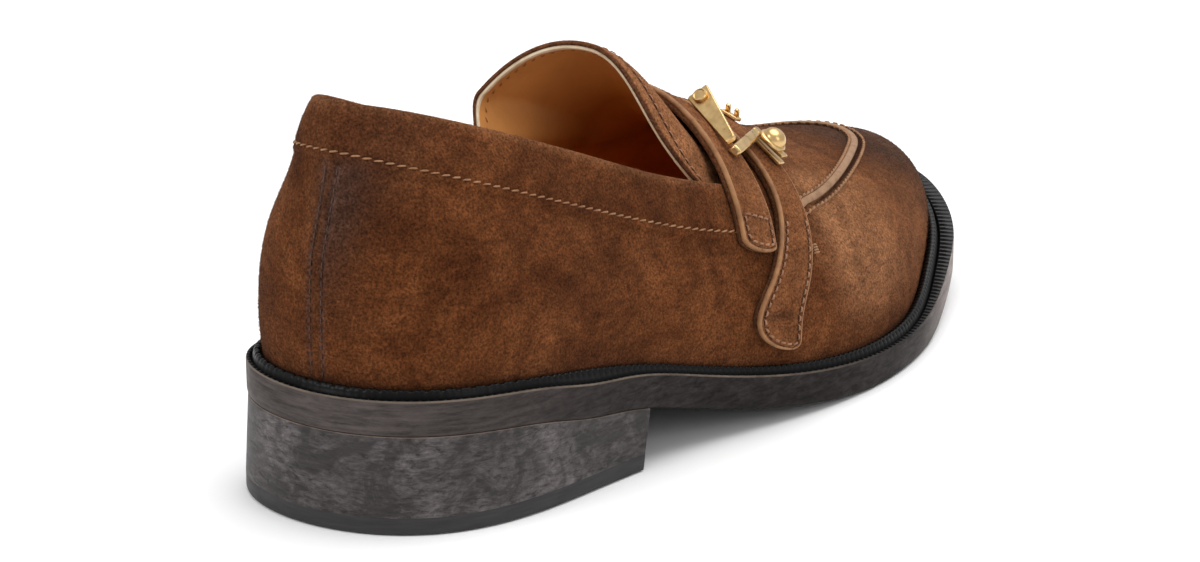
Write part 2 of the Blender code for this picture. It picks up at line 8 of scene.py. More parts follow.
import bmesh
import bpy
import numpy as np
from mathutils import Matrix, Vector


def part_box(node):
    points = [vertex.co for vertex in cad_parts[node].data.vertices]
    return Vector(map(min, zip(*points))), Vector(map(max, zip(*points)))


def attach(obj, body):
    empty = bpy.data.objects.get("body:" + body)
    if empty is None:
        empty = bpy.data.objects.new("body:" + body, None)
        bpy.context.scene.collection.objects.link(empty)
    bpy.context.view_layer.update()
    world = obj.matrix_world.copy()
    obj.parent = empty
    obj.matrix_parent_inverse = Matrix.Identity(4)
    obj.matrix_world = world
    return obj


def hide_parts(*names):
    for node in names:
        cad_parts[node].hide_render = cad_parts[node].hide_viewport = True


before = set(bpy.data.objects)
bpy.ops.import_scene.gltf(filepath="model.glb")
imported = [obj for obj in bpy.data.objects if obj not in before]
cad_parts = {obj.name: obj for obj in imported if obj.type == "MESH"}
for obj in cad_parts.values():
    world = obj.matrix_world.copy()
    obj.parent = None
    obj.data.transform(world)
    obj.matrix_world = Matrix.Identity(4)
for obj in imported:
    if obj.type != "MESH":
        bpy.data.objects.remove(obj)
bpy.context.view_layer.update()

MM = 0.001

# Sizes shared with the part's source
SOLE_LENGTH = 300.0
SOLE_THICKNESS = 10.7
WELT_THICKNESS = 3.6
HEEL_BREAST_TOP = 91.0
HEEL_BREAST_FOOT = 87.0
HEEL_INSET = 0.4
HEEL_FLARE = 1.2
LIFT_THICKNESS = 5.0
WALL = 2.0
TONGUE_THICKNESS = 2.4
STRAP_THICKNESS = 3.0
FIT = 0.3
STRAP_FIT = 0.5
BAND_FADE = (138.0, 128.0)
SEAM_HALF_WIDTH = 0.016
SEAM_CHANGE = (140.0, 175.0)
CORD_RISE = (175.0, 186.0)
THROAT_Y = 150.0
APRON_RIM = 0.3

# Sections of the last, heel to toe, with the part's columns
SECTION_COLUMNS = ("y", "centre", "half", "welt", "margin", "spine_x", "spine_y", "bulge", "lift",
                   "shoulder", "band", "top", "apron")
SECTIONS = (
    (0.0, -5.0, 0.0, 39.0, 5.0, -8.0, 21.5, 5.5, 0.45, 0.45, 98.5, 115.0, 0.75),
    (15.0, -3.8, 33.5, 38.7, 4.8, -7.0, 27.5, 5.5, 0.45, 0.50, 97.5, 114.0, 0.75),
    (45.0, 0.5, 42.0, 36.8, 4.2, -5.0, 47.0, 5.0, 0.50, 0.55, 89.5, 106.0, 0.75),
    (80.0, 4.8, 41.0, 31.5, 3.6, -3.0, 80.0, 4.0, 0.50, 0.60, 76.5, 91.5, 0.75),
    (120.0, 8.5, 43.5, 20.3, 3.4, -1.0, 120.0, 4.0, 0.50, 0.52, 62.5, 75.0, 0.75),
    (150.0, 10.0, 49.0, 14.0, 4.0, 0.0, 150.0, 4.0, 0.50, 0.46, 56.0, 67.0, 0.75),
    (190.0, 8.0, 54.0, 10.3, 5.5, -3.0, 190.0, 4.0, 0.54, 0.58, 54.0, 60.0, 0.685),
    (220.0, 4.2, 52.0, 10.4, 6.5, -6.0, 212.0, 4.0, 0.60, 0.68, 54.0, 60.0, 0.60),
    (250.0, -0.5, 44.5, 14.0, 8.0, -7.5, 226.0, 4.0, 0.62, 0.68, 54.0, 60.0, 0.535),
    (275.0, -5.2, 35.7, 19.5, 9.0, -8.0, 232.0, 4.0, 0.62, 0.66, 54.0, 60.0, 0.505),
    (290.0, -8.0, 24.5, 24.0, 9.5, -8.0, 234.0, 4.0, 0.62, 0.66, 54.0, 60.0, 0.495),
    (300.0, -9.3, 0.0, 28.5, 9.5, -8.0, 235.0, 4.0, 0.62, 0.66, 54.0, 60.0, 0.487),
)
RIDGE_COLUMNS = ("y", "z")
RIDGE = (
    (20.0, 122.0),
    (60.0, 119.0),
    (100.0, 111.5),
    (130.0, 99.0),
    (150.0, 87.0),
    (165.0, 80.0),
    (185.0, 71.8),
    (205.0, 64.5),
    (225.0, 57.8),
    (245.0, 52.8),
)
STRAP_COLUMNS = ("v", "rear", "width")
REAR_STRAP = (
    (0.31, 132.4, 13.2),
    (0.43, 135.4, 14.0),
    (0.57, 138.8, 13.8),
    (0.75, 141.5, 14.0),
    (1.00, 144.5, 14.0),
)
FRONT_STRAP = (
    (0.06, 131.5, 17.5),
    (0.15, 133.6, 17.0),
    (0.24, 141.0, 15.4),
    (0.34, 148.8, 13.8),
    (0.46, 156.0, 11.6),
    (0.60, 160.0, 11.0),
    (0.80, 161.5, 11.5),
    (1.00, 162.5, 12.5),
)
FRONT_STRAP_INNER_END = 0.30
TONGUE_COLUMNS = ("row", "y", "ahead", "back", "outer", "inner", "middle", "side")
TONGUE = (
    (0.00, 163.0, 0.0, 0.0, 0.66, 0.74, -2.8, -2.8),
    (0.25, 152.0, 1.0, 2.0, 0.55, 0.62, -2.8, -2.8),
    (0.50, 142.0, 4.0, 7.0, 0.48, 0.52, -0.2, -3.0),
    (0.75, 131.0, 9.0, 16.0, 0.45, 0.44, 5.4, -3.0),
    (1.00, 122.5, 14.0, 26.0, 0.44, 0.40, 6.6, -2.6),
)
TONGUE_TUCK = (0.90, 0.68)
TONGUE_OUTER_TUCK = 0.83

# How far the sewn collar seam stands above the part's plain one, round the outline from the inner side
BAND_SHIFT_COLUMNS = ("turn", "z")
BAND_SHIFT = (
    (-0.50, 0.0),
    (-0.30, 0.4),
    (-0.12, 2.2),
    (0.03, 4.1),
    (0.12, 1.9),
    (0.22, 0.0),
    (0.36, -1.9),
    (0.47, -2.8),
    (0.58, -2.8),
)

# The clasp's places on the last: y, v, height above the strap
LEVER_TOP = (154.6, 0.850, 4.35)
LEVER_FOOT = (145.0, 0.620, 3.35)
HOOK_FOOT = (145.0, 0.593, 2.2)
HOOK_BEND = (166.4, 0.7005, 2.6)
HOOK_TIP = (168.4, 0.604, 2.6)
KEEPER = (172.0, 0.835, 0.9)
LEVER_WIDTHS = (7.0, 3.2)
LEVER_THICKNESS = 1.8
LEVER_TILT = math.radians(67.0)
PIN_FROM_END = 2.9
HOOK_WIDTH = 3.4
HOOK_THICKNESS = 3.0
LEG_THICKNESS = 1.3
LOWER_LEG_SHARE = 1.07
LIP_DROP = 0.6
STUD_RADIUS = 4.4
STUD_HEIGHT = 3.9
STUD_ON_LEG = 0.46
KEEPER_SIZE = (6.0, 4.0, 1.2)
LUG_SIZE = (1.5, 1.3, 3.6)
LUG_SPACING = 3.3
LUG_LEAN = math.radians(40.0)

# Photo's camera in the last's frame, re-aimed at the one shoe
CAMERA_PLACE = (740.9, -858.3, 458.1)
CAMERA_AZIMUTH = math.radians(41.086)
CAMERA_ELEVATION = math.radians(18.438)
PHOTO_FOCAL = 3797.2
PHOTO_CENTRE = (600.0, 275.6)
SHOE_CENTRE = (864.5, 309.0)
PHOTO_WIDTH = 1200.0
ZOOM = 1.17


# Splines and the last's surface, on whole arrays of places

def spline(knots, values, flat_ends):
    """Cubic spline through a table's rows; flat_ends makes its slope zero at both ends."""
    count = len(knots)
    gaps = np.diff(knots)
    slopes = np.diff(values) / gaps
    system = np.eye(count)
    right = np.zeros(count)
    for i in range(1, count - 1):
        system[i, i - 1:i + 2] = gaps[i - 1], 2.0 * (gaps[i - 1] + gaps[i]), gaps[i]
        right[i] = 6.0 * (slopes[i] - slopes[i - 1])
    if flat_ends:
        system[0, :2] = 2.0 * gaps[0], gaps[0]
        right[0] = 6.0 * slopes[0]
        system[-1, -2:] = gaps[-1], 2.0 * gaps[-1]
        right[-1] = -6.0 * slopes[-1]
    curve = np.linalg.solve(system, right)

    def value(at):
        i = np.clip(np.searchsorted(knots, at) - 1, 0, count - 2)
        ahead = (knots[i + 1] - at) / gaps[i]
        behind = 1.0 - ahead
        bend = (ahead ** 3 - ahead) * curve[i] + (behind ** 3 - behind) * curve[i + 1]
        return ahead * values[i] + behind * values[i + 1] + bend * gaps[i] ** 2 / 6.0

    return value


def table_spline(columns, rows, name):
    table = np.array(rows)
    return spline(table[:, 0], table[:, columns.index(name)], False)


def turn_at(y):
    """Place round the half outline, 0 at the heel's back and 1 at the toe, of a length along the sole."""
    return np.arccos(np.clip(1.0 - 2.0 * np.asarray(y) / SOLE_LENGTH, -1.0, 1.0)) / np.pi


SECTION_TABLE = np.array(SECTIONS)
SECTION_TURNS = turn_at(SECTION_TABLE[:, 0])
COLUMN = {name: spline(SECTION_TURNS, SECTION_TABLE[:, i], name != "half")
          for i, name in enumerate(SECTION_COLUMNS)}
RIDGE_Z = table_spline(RIDGE_COLUMNS, RIDGE, "z")
BAND_SHIFT_Z = table_spline(BAND_SHIFT_COLUMNS, BAND_SHIFT, "z")


def half_turn(turn):
    turn = np.asarray(turn, float) % 2.0
    outer = turn <= 1.0
    return np.where(outer, turn, 2.0 - turn), np.where(outer, 1.0, -1.0)


def signed_turn(turn):
    """Place round the outline from -1 to 1: 0 at the heel's back, growing to the outer side."""
    return (np.asarray(turn) + 1.0) % 2.0 - 1.0


def vectors(x, y, z):
    return np.stack(np.broadcast_arrays(x, y, z), -1).astype(float)


def unit(rows):
    return rows / np.maximum(np.linalg.norm(rows, axis=-1, keepdims=True), 1e-12)


def ramp(value, start, end):
    return np.clip((value - start) / (end - start), 0.0, 1.0)


def smooth(value, start, end):
    share = ramp(value, start, end)
    return share * share * (3.0 - 2.0 * share)


def welt_edge(turn):
    half, side = half_turn(turn)
    y = SOLE_LENGTH * (1.0 - np.cos(np.pi * half)) / 2.0
    return vectors(COLUMN["centre"](half) + side * COLUMN["half"](half), y, 0.0)


def outline(turn, inset, height=0.0):
    """Point of the sole's outline, moved in square to the welt's edge."""
    step = 0.002
    along = unit(welt_edge(turn + step) - welt_edge(turn - step))
    inward = vectors(-along[..., 1], along[..., 0], 0.0)
    point = welt_edge(turn) + inward * np.asarray(inset, float)[..., None]
    point[..., 2] = height
    return point


def welt_top(turn):
    return COLUMN["welt"](half_turn(turn)[0])


def margin(turn):
    return COLUMN["margin"](half_turn(turn)[0])


def sole_foot(turn):
    return np.maximum(0.0, welt_top(turn) - SOLE_THICKNESS)


def last_point(turn, v):
    """Point of the last on the rib at a place of the outline: v is 0 at the feather, 1 at the spine."""
    turn, v = np.broadcast_arrays(np.asarray(turn, float), np.asarray(v, float))
    half, _ = half_turn(turn)
    feather = outline(turn, COLUMN["margin"](half), COLUMN["welt"](half) + FIT)
    spine_y = COLUMN["spine_y"](half)
    spine = vectors(COLUMN["spine_x"](half), spine_y, RIDGE_Z(spine_y))
    out = feather - spine
    out[..., 2] = 0.0
    reach = np.linalg.norm(out, axis=-1)
    out = unit(out)
    rise = spine[..., 2] - feather[..., 2]
    side_handle = feather + out * COLUMN["bulge"](half)[..., None]
    side_handle[..., 2] += rise * COLUMN["lift"](half)
    top_handle = spine + out * (reach * COLUMN["shoulder"](half))[..., None]
    slope = (RIDGE_Z(spine_y + 1.0) - RIDGE_Z(spine_y - 1.0)) / 2.0
    top_handle[..., 2] += slope * (top_handle[..., 1] - spine[..., 1])
    v = v[..., None]
    w = 1.0 - v
    return feather * w ** 3 + side_handle * 3.0 * w * w * v + top_handle * 3.0 * w * v * v + spine * v ** 3


def last_normal(turn, v):
    step = 0.004
    turn, v = np.broadcast_arrays(np.asarray(turn, float), np.asarray(v, float))
    v = np.clip(v, step, 1.0 - step)
    along = last_point(turn + step, v) - last_point(turn - step, v)
    up = last_point(turn, v + step) - last_point(turn, v - step)
    return unit(np.cross(along, up))


def lifted(turn, v, height):
    height = np.asarray(height, float)
    return last_point(turn, v) + last_normal(turn, v) * height[..., None]


def rib_place(turn, measure, target):
    """Places on ribs where a measure that grows along them reaches a target."""
    low = np.zeros_like(turn)
    high = np.ones_like(turn)
    for _ in range(30):
        middle = (low + high) / 2.0
        short = measure(last_point(turn, middle)) < target
        low = np.where(short, middle, low)
        high = np.where(short, high, middle)
    return (low + high) / 2.0


def height_place(turn, z):
    return rib_place(turn, lambda p: p[..., 2], z)


def apron_place(turn):
    half, _ = half_turn(turn)
    spine = last_point(turn, 1.0)
    reach = np.linalg.norm((last_point(turn, 0.0) - spine)[..., :2], axis=-1)
    return rib_place(turn, lambda p: -np.linalg.norm((p - spine)[..., :2], axis=-1),
                     -COLUMN["apron"](half) * reach)


def seam_place(turn):
    """The collar's lower seam, which changes over to the apron's seam under the straps."""
    half, _ = half_turn(turn)
    mix = ramp(half, *turn_at(SEAM_CHANGE))
    shift = BAND_SHIFT_Z(np.clip(signed_turn(turn), BAND_SHIFT[0][0], BAND_SHIFT[-1][0]))
    return height_place(turn, COLUMN["band"](half) + shift) * (1.0 - mix) + apron_place(turn) * mix


def rim_place(turn):
    """The collar's edge; ahead of the throat it runs on inside the apron's seam."""
    half, _ = half_turn(turn)
    mix = smooth(half, turn_at(THROAT_Y), turn_at(SEAM_CHANGE[1]))
    seam = seam_place(turn)
    inside = seam + (1.0 - seam) * APRON_RIM
    return height_place(turn, COLUMN["top"](half)) * (1.0 - mix) + inside * mix


def even_turns(start, end, count, line):
    """Places round the outline, evenly spaced along a line given as a function of the place."""
    dense = np.linspace(start, end, 3000)
    points = line(dense)
    run = np.concatenate(([0.0], np.cumsum(np.linalg.norm(np.diff(points, axis=0), axis=-1))))
    return np.interp(np.linspace(0.0, run[-1], count), run, dense)


def strap_place(y, v):
    """Place of a strap's point on the last: v runs past 1 over the ridge to the inner side."""
    over = v > 1.0
    turn = turn_at(y)
    return np.where(over, 2.0 - turn, turn), np.where(over, 2.0 - v, v)


# Row frame: the welt's box places the last

WELT_LINE = welt_edge(np.linspace(0.0, 2.0, 4000))
SHIFT = np.array(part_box("welt")[0]) - np.array([WELT_LINE[:, 0].min() * MM, 0.0, 0.0])
SHIFT[2] = 0.0


# Mesh helpers

def grid_faces(rows, columns, start=0, wrap=False):
    """Quads of a grid of points laid row by row; wrap joins the last column to the first."""
    r = np.arange(rows - 1)[:, None]
    c = np.arange(columns if wrap else columns - 1)[None, :]
    d = (c + 1) % columns
    low = start + r * columns
    high = low + columns
    return np.stack([low + c, low + d, high + d, high + c], -1).reshape(-1, 4).tolist()


def add_piece(name, points, faces, material, slot, stands_for=(), sharp=None, fields=None, weld=False):
    """Piece of the shoe from points in millimetres in the last's frame."""
    mesh = bpy.data.meshes.new(name)
    mesh.from_pydata((np.asarray(points).reshape(-1, 3) * MM + SHIFT).tolist(), [], faces)
    for field_name, values in (fields or {}).items():
        layer = mesh.attributes.new(field_name, "FLOAT", "POINT")
        layer.data.foreach_set("value", np.asarray(values, np.float32).ravel())
    if weld:
        body = bmesh.new()
        body.from_mesh(mesh)
        bmesh.ops.remove_doubles(body, verts=body.verts, dist=0.02 * MM)
        body.to_mesh(mesh)
        body.free()
    mesh.shade_smooth()
    if sharp is not None:
        mesh.set_sharp_from_angle(angle=math.radians(sharp))
    mesh.materials.append(material)
    piece = bpy.data.objects.new(name, mesh)
    bpy.context.scene.collection.objects.link(piece)
    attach(piece, "root")
    if stands_for:
        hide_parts(*stands_for)
    return piece


def tube(path, normals, radius, sides=8, squash=1.0):
    """Points and faces of a tube along a path that lies on a surface with these normals."""
    along = unit(np.gradient(path, axis=0))
    across = unit(np.cross(along, normals))
    up = np.cross(across, along)
    swing = np.linspace(0.0, 2.0 * np.pi, sides, endpoint=False)
    rings = (path[:, None] + across[:, None] * (np.cos(swing) * radius)[None, :, None]
             + up[:, None] * (np.sin(swing) * radius * squash)[None, :, None])
    return rings.reshape(-1, 3), grid_faces(len(path), sides, 0, True)


def merge(parts):
    """One list of points and faces from several."""
    points, faces, start = [], [], 0
    for some_points, some_faces in parts:
        points.append(some_points)
        faces += [[start + i for i in face] for face in some_faces]
        start += len(some_points)
    return np.concatenate(points), faces


def stitch_row(path, normals, pitch=3.0, length=2.3, width=0.55, height=0.35, slant=0.0):
    """Short threads along a path: each is a spindle that dips at both ends."""
    run = np.concatenate(([0.0], np.cumsum(np.linalg.norm(np.diff(path, axis=0), axis=-1))))
    middles = np.arange(pitch / 2.0, run[-1], pitch)
    at = lambda places: np.stack([np.interp(places, run, path[:, k]) for k in range(3)], -1)
    up = unit(np.stack([np.interp(middles, run, normals[:, k]) for k in range(3)], -1))
    tail, head = at(middles - length / 2.0), at(middles + length / 2.0)
    across = unit(np.cross(up, head - tail))
    tail = tail - across * slant
    head = head + across * slant
    profile = ((0.0, 0.25, -0.5), (0.22, 0.9, 0.7), (0.78, 0.9, 0.7), (1.0, 0.25, -0.5))
    swing = np.linspace(0.0, 2.0 * np.pi, 6, endpoint=False)
    rings = []
    for share, wide, rise in profile:
        middle = tail + (head - tail) * share + up * (height * rise)
        rings.append(middle[:, None] + across[:, None] * (np.cos(swing) * wide * width / 2.0)[None, :, None]
                     + up[:, None] * (np.sin(swing) * wide * height / 2.0)[None, :, None])
    points = np.stack(rings, 1)
    faces = []
    size = len(profile) * 6
    for i in range(len(middles)):
        faces += grid_faces(len(profile), 6, i * size, True)
    return points.reshape(-1, 3), faces


# Shading helpers

def new_look(name, colour, roughness, **inputs):
    """Principled material; inputs set further sockets by name, with spaces for underscores."""
    material = bpy.data.materials.new(name)
    material.use_nodes = True
    tree = material.node_tree
    shader = tree.nodes["Principled BSDF"]
    shader.inputs["Base Color"].default_value = (*colour, 1.0)
    shader.inputs["Roughness"].default_value = roughness
    for key, value in inputs.items():
        socket = shader.inputs[key.replace("_", " ")]
        socket.default_value = (*value, 1.0) if isinstance(value, tuple) else value
    return material, tree, shader


def node(tree, kind, links=(), **settings):
    made = tree.nodes.new(kind)
    for key, value in settings.items():
        setattr(made, key, value)
    for socket, value in dict(links).items():
        target = made.inputs[socket]
        if isinstance(value, bpy.types.NodeSocket):
            tree.links.new(value, target)
        else:
            target.default_value = value
    return made


def place_of(tree, stretch=(1.0, 1.0, 1.0)):
    """Coordinates of a point of the piece, in metres, stretched along the axes."""
    coordinates = node(tree, "ShaderNodeTexCoord").outputs["Object"]
    return node(tree, "ShaderNodeMapping", {"Vector": coordinates, "Scale": stretch}).outputs["Vector"]


def noise(tree, place, scale, detail=2.0, roughness=0.5, distortion=0.0):
    return node(tree, "ShaderNodeTexNoise", {
        "Vector": place, "Scale": scale, "Detail": detail, "Roughness": roughness,
        "Distortion": distortion}).outputs["Fac"]


def colour_ramp(tree, factor, stops):
    made = node(tree, "ShaderNodeValToRGB", {"Fac": factor})
    elements = made.color_ramp.elements
    while len(elements) < len(stops):
        elements.new(0.5)
    for element, (place, colour) in zip(elements, stops):
        element.position = place
        element.color = (*colour, 1.0)
    return made.outputs["Color"]


def level_ramp(tree, factor, start, end, low, high):
    """Map a factor between two places to values between two levels."""
    return node(tree, "ShaderNodeMapRange", {
        "Value": factor, "From Min": start, "From Max": end, "To Min": low, "To Max": high},
        clamp=True).outputs["Result"]


def mix_colour(tree, factor, first, second, mode="MIX"):
    made = node(tree, "ShaderNodeMix", data_type="RGBA", blend_type=mode)
    for index, value in ((0, factor), (6, first), (7, second)):
        target = made.inputs[index]
        if isinstance(value, bpy.types.NodeSocket):
            tree.links.new(value, target)
        elif isinstance(value, tuple):
            target.default_value = (*value, 1.0)
        else:
            target.default_value = value
    return made.outputs[2]


def math_node(tree, operation, first, second):
    return node(tree, "ShaderNodeMath", {0: first, 1: second}, operation=operation).outputs[0]


def times(tree, first, second):
    return math_node(tree, "MULTIPLY", first, second)


def shaded(tree, colour, level):
    """Colour multiplied by a grey level."""
    grey = node(tree, "ShaderNodeCombineColor", {0: level, 1: level, 2: level}).outputs[0]
    return mix_colour(tree, 1.0, colour, grey, "MULTIPLY")


def field(tree, name):
    return node(tree, "ShaderNodeAttribute", attribute_name=name).outputs["Fac"]


def bump(tree, height, strength, distance):
    return node(tree, "ShaderNodeBump", {
        "Height": height, "Strength": strength, "Distance": distance * MM}).outputs["Normal"]


def connect(tree, output, shader, socket):
    tree.links.new(output, shader.inputs[socket])


# Materials

def suede_look(name, dark, middle, light, lit_tone):
    """Brushed nap, mottled and speckled; its fields paint light, burnish with shade, and dust with a sheen.
    """
    material, tree, shader = new_look(name, middle, 0.95, Sheen_Weight=0.10, Sheen_Roughness=0.5,
                                      Sheen_Tint=(0.62, 0.36, 0.22), Specular_IOR_Level=0.06)
    place = place_of(tree)
    patches = noise(tree, place, 42.0, 5.0, 0.62, 0.7)
    strokes = noise(tree, place_of(tree, (1.0, 0.45, 1.0)), 240.0, 4.0, 0.65, 1.2)
    speckle = noise(tree, place, 1400.0, 2.0, 0.6)
    colour = colour_ramp(tree, patches, ((0.32, dark), (0.5, middle), (0.68, light)))
    # Marks: painted light on the lit vamp, burnish with painted shade, dust with a painted sheen
    marks = (("painted_light", level_ramp(tree, patches, 0.34, 0.64, 0.60, 1.05), lit_tone),
             ("burnish_and_shade", level_ramp(tree, patches, 0.34, 0.62, 0.65, 1.1), BURNISH_AND_SHADE_TONE),
             ("dust_and_sheen", level_ramp(tree, strokes, 0.35, 0.65, 0.25, 1.0), DUST_AND_SHEEN_TONE))
    for mark, level, tone in marks:
        colour = mix_colour(tree, times(tree, field(tree, mark), level), colour, tone)
    shade = times(tree, level_ramp(tree, strokes, 0.3, 0.7, 0.70, 1.30),
                  level_ramp(tree, speckle, 0.3, 0.7, 0.46, 1.54))
    connect(tree, shaded(tree, colour, shade), shader, "Base Color")
    height = math_node(tree, "ADD", speckle, times(tree, strokes, 1.5))
    connect(tree, bump(tree, height, 0.7, 0.4), shader, "Normal")
    return material


def lining_look(name, shallow, middle, deep):
    """Smooth calf with faint blotches and a fine grain; a depth field paints shade and light into the shoe.
    """
    material, tree, shader = new_look(name, shallow, 0.5, Specular_IOR_Level=0.35)
    place = place_of(tree)
    tone = colour_ramp(tree, field(tree, "depth"), ((0.0, shallow), (0.5, middle), (1.0, deep)))
    blotches = level_ramp(tree, noise(tree, place, 60.0, 4.0, 0.6, 0.4), 0.32, 0.66, 0.86, 1.05)
    connect(tree, shaded(tree, tone, blotches), shader, "Base Color")
    connect(tree, bump(tree, noise(tree, place, 700.0, 3.0, 0.6), 0.2, 0.25), shader, "Normal")
    return material


def edge_look(name, colour, darker):
    """Cut leather edge: rubbed lighter and darker along its run."""
    material, tree, shader = new_look(name, colour, 0.6, Specular_IOR_Level=0.3)
    highlight_level = noise(tree, place_of(tree), 220.0, 4.0, 0.6)
    connect(tree, colour_ramp(tree, highlight_level, ((0.35, darker), (0.62, colour))), shader, "Base Color")
    connect(tree, bump(tree, noise(tree, place_of(tree), 900.0, 2.0), 0.25, 0.25), shader, "Normal")
    return material


def stacked_look(name, colour, scuff_and_highlight, line, scuffs, roughness, shine):
    """Dark burnished edge with streaks along it and pale scuffs.

    A line field marks a thin pale line, on the welt's rim a painted highlight; a second field paints a
    highlight in the scuff tone.
    """
    material, tree, shader = new_look(name, colour, roughness, Specular_IOR_Level=shine)
    streaks = noise(tree, place_of(tree, (0.10, 0.10, 1.0)), 700.0, 4.0, 0.65)
    clouds = noise(tree, place_of(tree, (0.9, 0.9, 1.1)), 62.0, 5.0, 0.70, 0.8)
    specks = noise(tree, place_of(tree, (0.30, 0.30, 0.9)), 800.0, 5.0, 0.75, 0.5)
    tone = colour_ramp(tree, streaks, [(place, tuple(c * share for c in colour))
                                       for place, share in ((0.34, 0.5), (0.66, 1.15))])
    worn = times(tree, level_ramp(tree, clouds, 0.42, 0.66, 0.10, scuffs),
                 level_ramp(tree, specks, 0.35, 0.66, 0.0, 1.0))
    # painted highlight, streaked
    highlight_level = times(tree, field(tree, "painted_highlight"), level_ramp(tree, streaks, 0.34, 0.64, 0.35, 0.90))
    broken = times(tree, field(tree, "line"), level_ramp(tree, clouds, 0.36, 0.6, 0.45, 1.0))
    for level, mark in ((worn, scuff_and_highlight), (highlight_level, scuff_and_highlight), (broken, line)):
        tone = mix_colour(tree, level, tone, mark)
    connect(tree, tone, shader, "Base Color")
    height = math_node(tree, "ADD", streaks, times(tree, specks, 0.5))
    connect(tree, bump(tree, height, 0.22, 0.2), shader, "Normal")
    uneven = level_ramp(tree, clouds, 0.3, 0.7, roughness - 0.08, roughness + 0.14)
    connect(tree, uneven, shader, "Roughness")
    return material


def welt_look(name, raised, sunk):
    """Black polished leather; a depth field paints shade, darker and matt, in its grooves and all but the
    toe.
    """
    material, tree, shader = new_look(name, raised, 0.33)
    depth = field(tree, "depth")
    connect(tree, mix_colour(tree, depth, raised, sunk), shader, "Base Color")
    connect(tree, level_ramp(tree, depth, 0.0, 1.0, 0.34, 0.01), shader, "Specular IOR Level")
    clouds = noise(tree, place_of(tree), 120.0, 3.0, 0.6)
    connect(tree, level_ramp(tree, clouds, 0.3, 0.7, 0.26, 0.44), shader, "Roughness")
    connect(tree, bump(tree, noise(tree, place_of(tree), 600.0, 3.0, 0.6), 0.15, 0.2), shader, "Normal")
    return material


def brass_look(name):
    """Antique satin brass, with soft darker clouds."""
    material, tree, shader = new_look(name, (0.62, 0.42, 0.19), 0.32, Metallic=1.0)
    clouds = noise(tree, place_of(tree), 260.0, 3.0, 0.55)
    connect(tree, colour_ramp(tree, clouds, ((0.3, (0.54, 0.34, 0.135)), (0.7, (0.74, 0.52, 0.25)))),
            shader, "Base Color")
    connect(tree, level_ramp(tree, clouds, 0.3, 0.7, 0.24, 0.38), shader, "Roughness")
    return material


# Tones of burnish with painted shade, and of dust with a painted sheen
BURNISH_AND_SHADE_TONE = (0.038, 0.017, 0.011)
DUST_AND_SHEEN_TONE = (0.098, 0.053, 0.041)
SUEDE = suede_look("suede", (0.054, 0.0150, 0.0044), (0.094, 0.0294, 0.0089), (0.148, 0.0500, 0.0160),
                   (0.282, 0.125, 0.056))
# Lit copy of the suede, for the straps and the tongue: painted light
LIT_SUEDE = suede_look("lit_suede", (0.128, 0.045, 0.016), (0.168, 0.063, 0.024), (0.204, 0.082, 0.034),
                         (0.270, 0.115, 0.050))
# Lining: tan at the collar, painted shade part way down, and a lighter, redder painted glow at the bottom
LINING = lining_look("lining", (0.60, 0.255, 0.068), (0.275, 0.076, 0.0060), (0.84, 0.310, 0.050))
SOCK = lining_look("sock", (0.50, 0.19, 0.045), (0.42, 0.15, 0.03), (0.36, 0.12, 0.02))
RAW_EDGE = edge_look("raw_edge", (0.74, 0.60, 0.42), (0.58, 0.44, 0.28))
STRAP_EDGE = edge_look("strap_edge", (0.34, 0.165, 0.068), (0.22, 0.10, 0.040))
PIPING = edge_look("piping", (0.31, 0.175, 0.095), (0.21, 0.112, 0.055))
THREAD = edge_look("thread", (0.32, 0.162, 0.076), (0.21, 0.097, 0.043))
STRAP_THREAD = edge_look("strap_thread", (0.33, 0.168, 0.092), (0.21, 0.100, 0.053))
LINING_THREAD = edge_look("lining_thread", (0.40, 0.16, 0.042), (0.32, 0.12, 0.03))
TONAL_THREAD = edge_look("tonal_thread", (0.080, 0.040, 0.028), (0.045, 0.022, 0.015))
# The welt's second tone is its painted shade
WELT_LOOK = welt_look("welt_leather", (0.007, 0.0066, 0.0064), (0.001, 0.001, 0.001))
# Sole's pale tone paints scuffs and a highlight; its line tone is a painted highlight on the welt's rim
SOLE_LOOK = stacked_look("sole_edge", (0.0140, 0.0118, 0.0116), (0.300, 0.250, 0.232),
                         (0.150, 0.117, 0.092), 0.035, 0.42, 0.04)
HEEL_LOOK = stacked_look("heel_edge", (0.0255, 0.0208, 0.0200), (0.195, 0.170, 0.172),
                         (0.20, 0.145, 0.112), 0.85, 0.5, 0.24)
LIFT_LOOK = stacked_look("lift_rubber", (0.0225, 0.0204, 0.0206), (0.040, 0.037, 0.038),
                         (0.04, 0.036, 0.036), 0.2, 0.5, 0.4)
BRASS = brass_look("brass")


# Upper, its lining, and the collar

SIDE_ROWS, SEAM_ROWS, BAND_ROWS, CAP_ROWS = 34, 27, 12, 30
SEAM_BELOW, SEAM_ABOVE = 5.5, 3.5
BACK_COLUMNS, FORE_COLUMNS = 300, 330
BAND_STEP = 0.8
ROLL = 1.4
ROLL_END = (0.42, 0.5)
ROLL_STEPS = 8
# Painted light along the collar's edge: strength, and width in millimetres
RIM_LIGHT = 0.3
RIM_LIGHT_WIDTH = 1.6
UPPER_ZONES = ((-0.5, 0.5, BACK_COLUMNS, False), (0.5, 1.5, FORE_COLUMNS, True))

# Zones of the lining: first and last place round the outline, columns, head of the ribs, extra depth
LINING_ZONES = ((-0.5, 0.5, 90, rim_place, 0.0), (0.5, 1.52, 92, np.ones_like, 0.05))
LINING_ROWS = 24
LINING_DEPTH = -1.8
# Heights over which painted shade and glow come into the lining
LINING_SHADE = (95.0, 50.0)

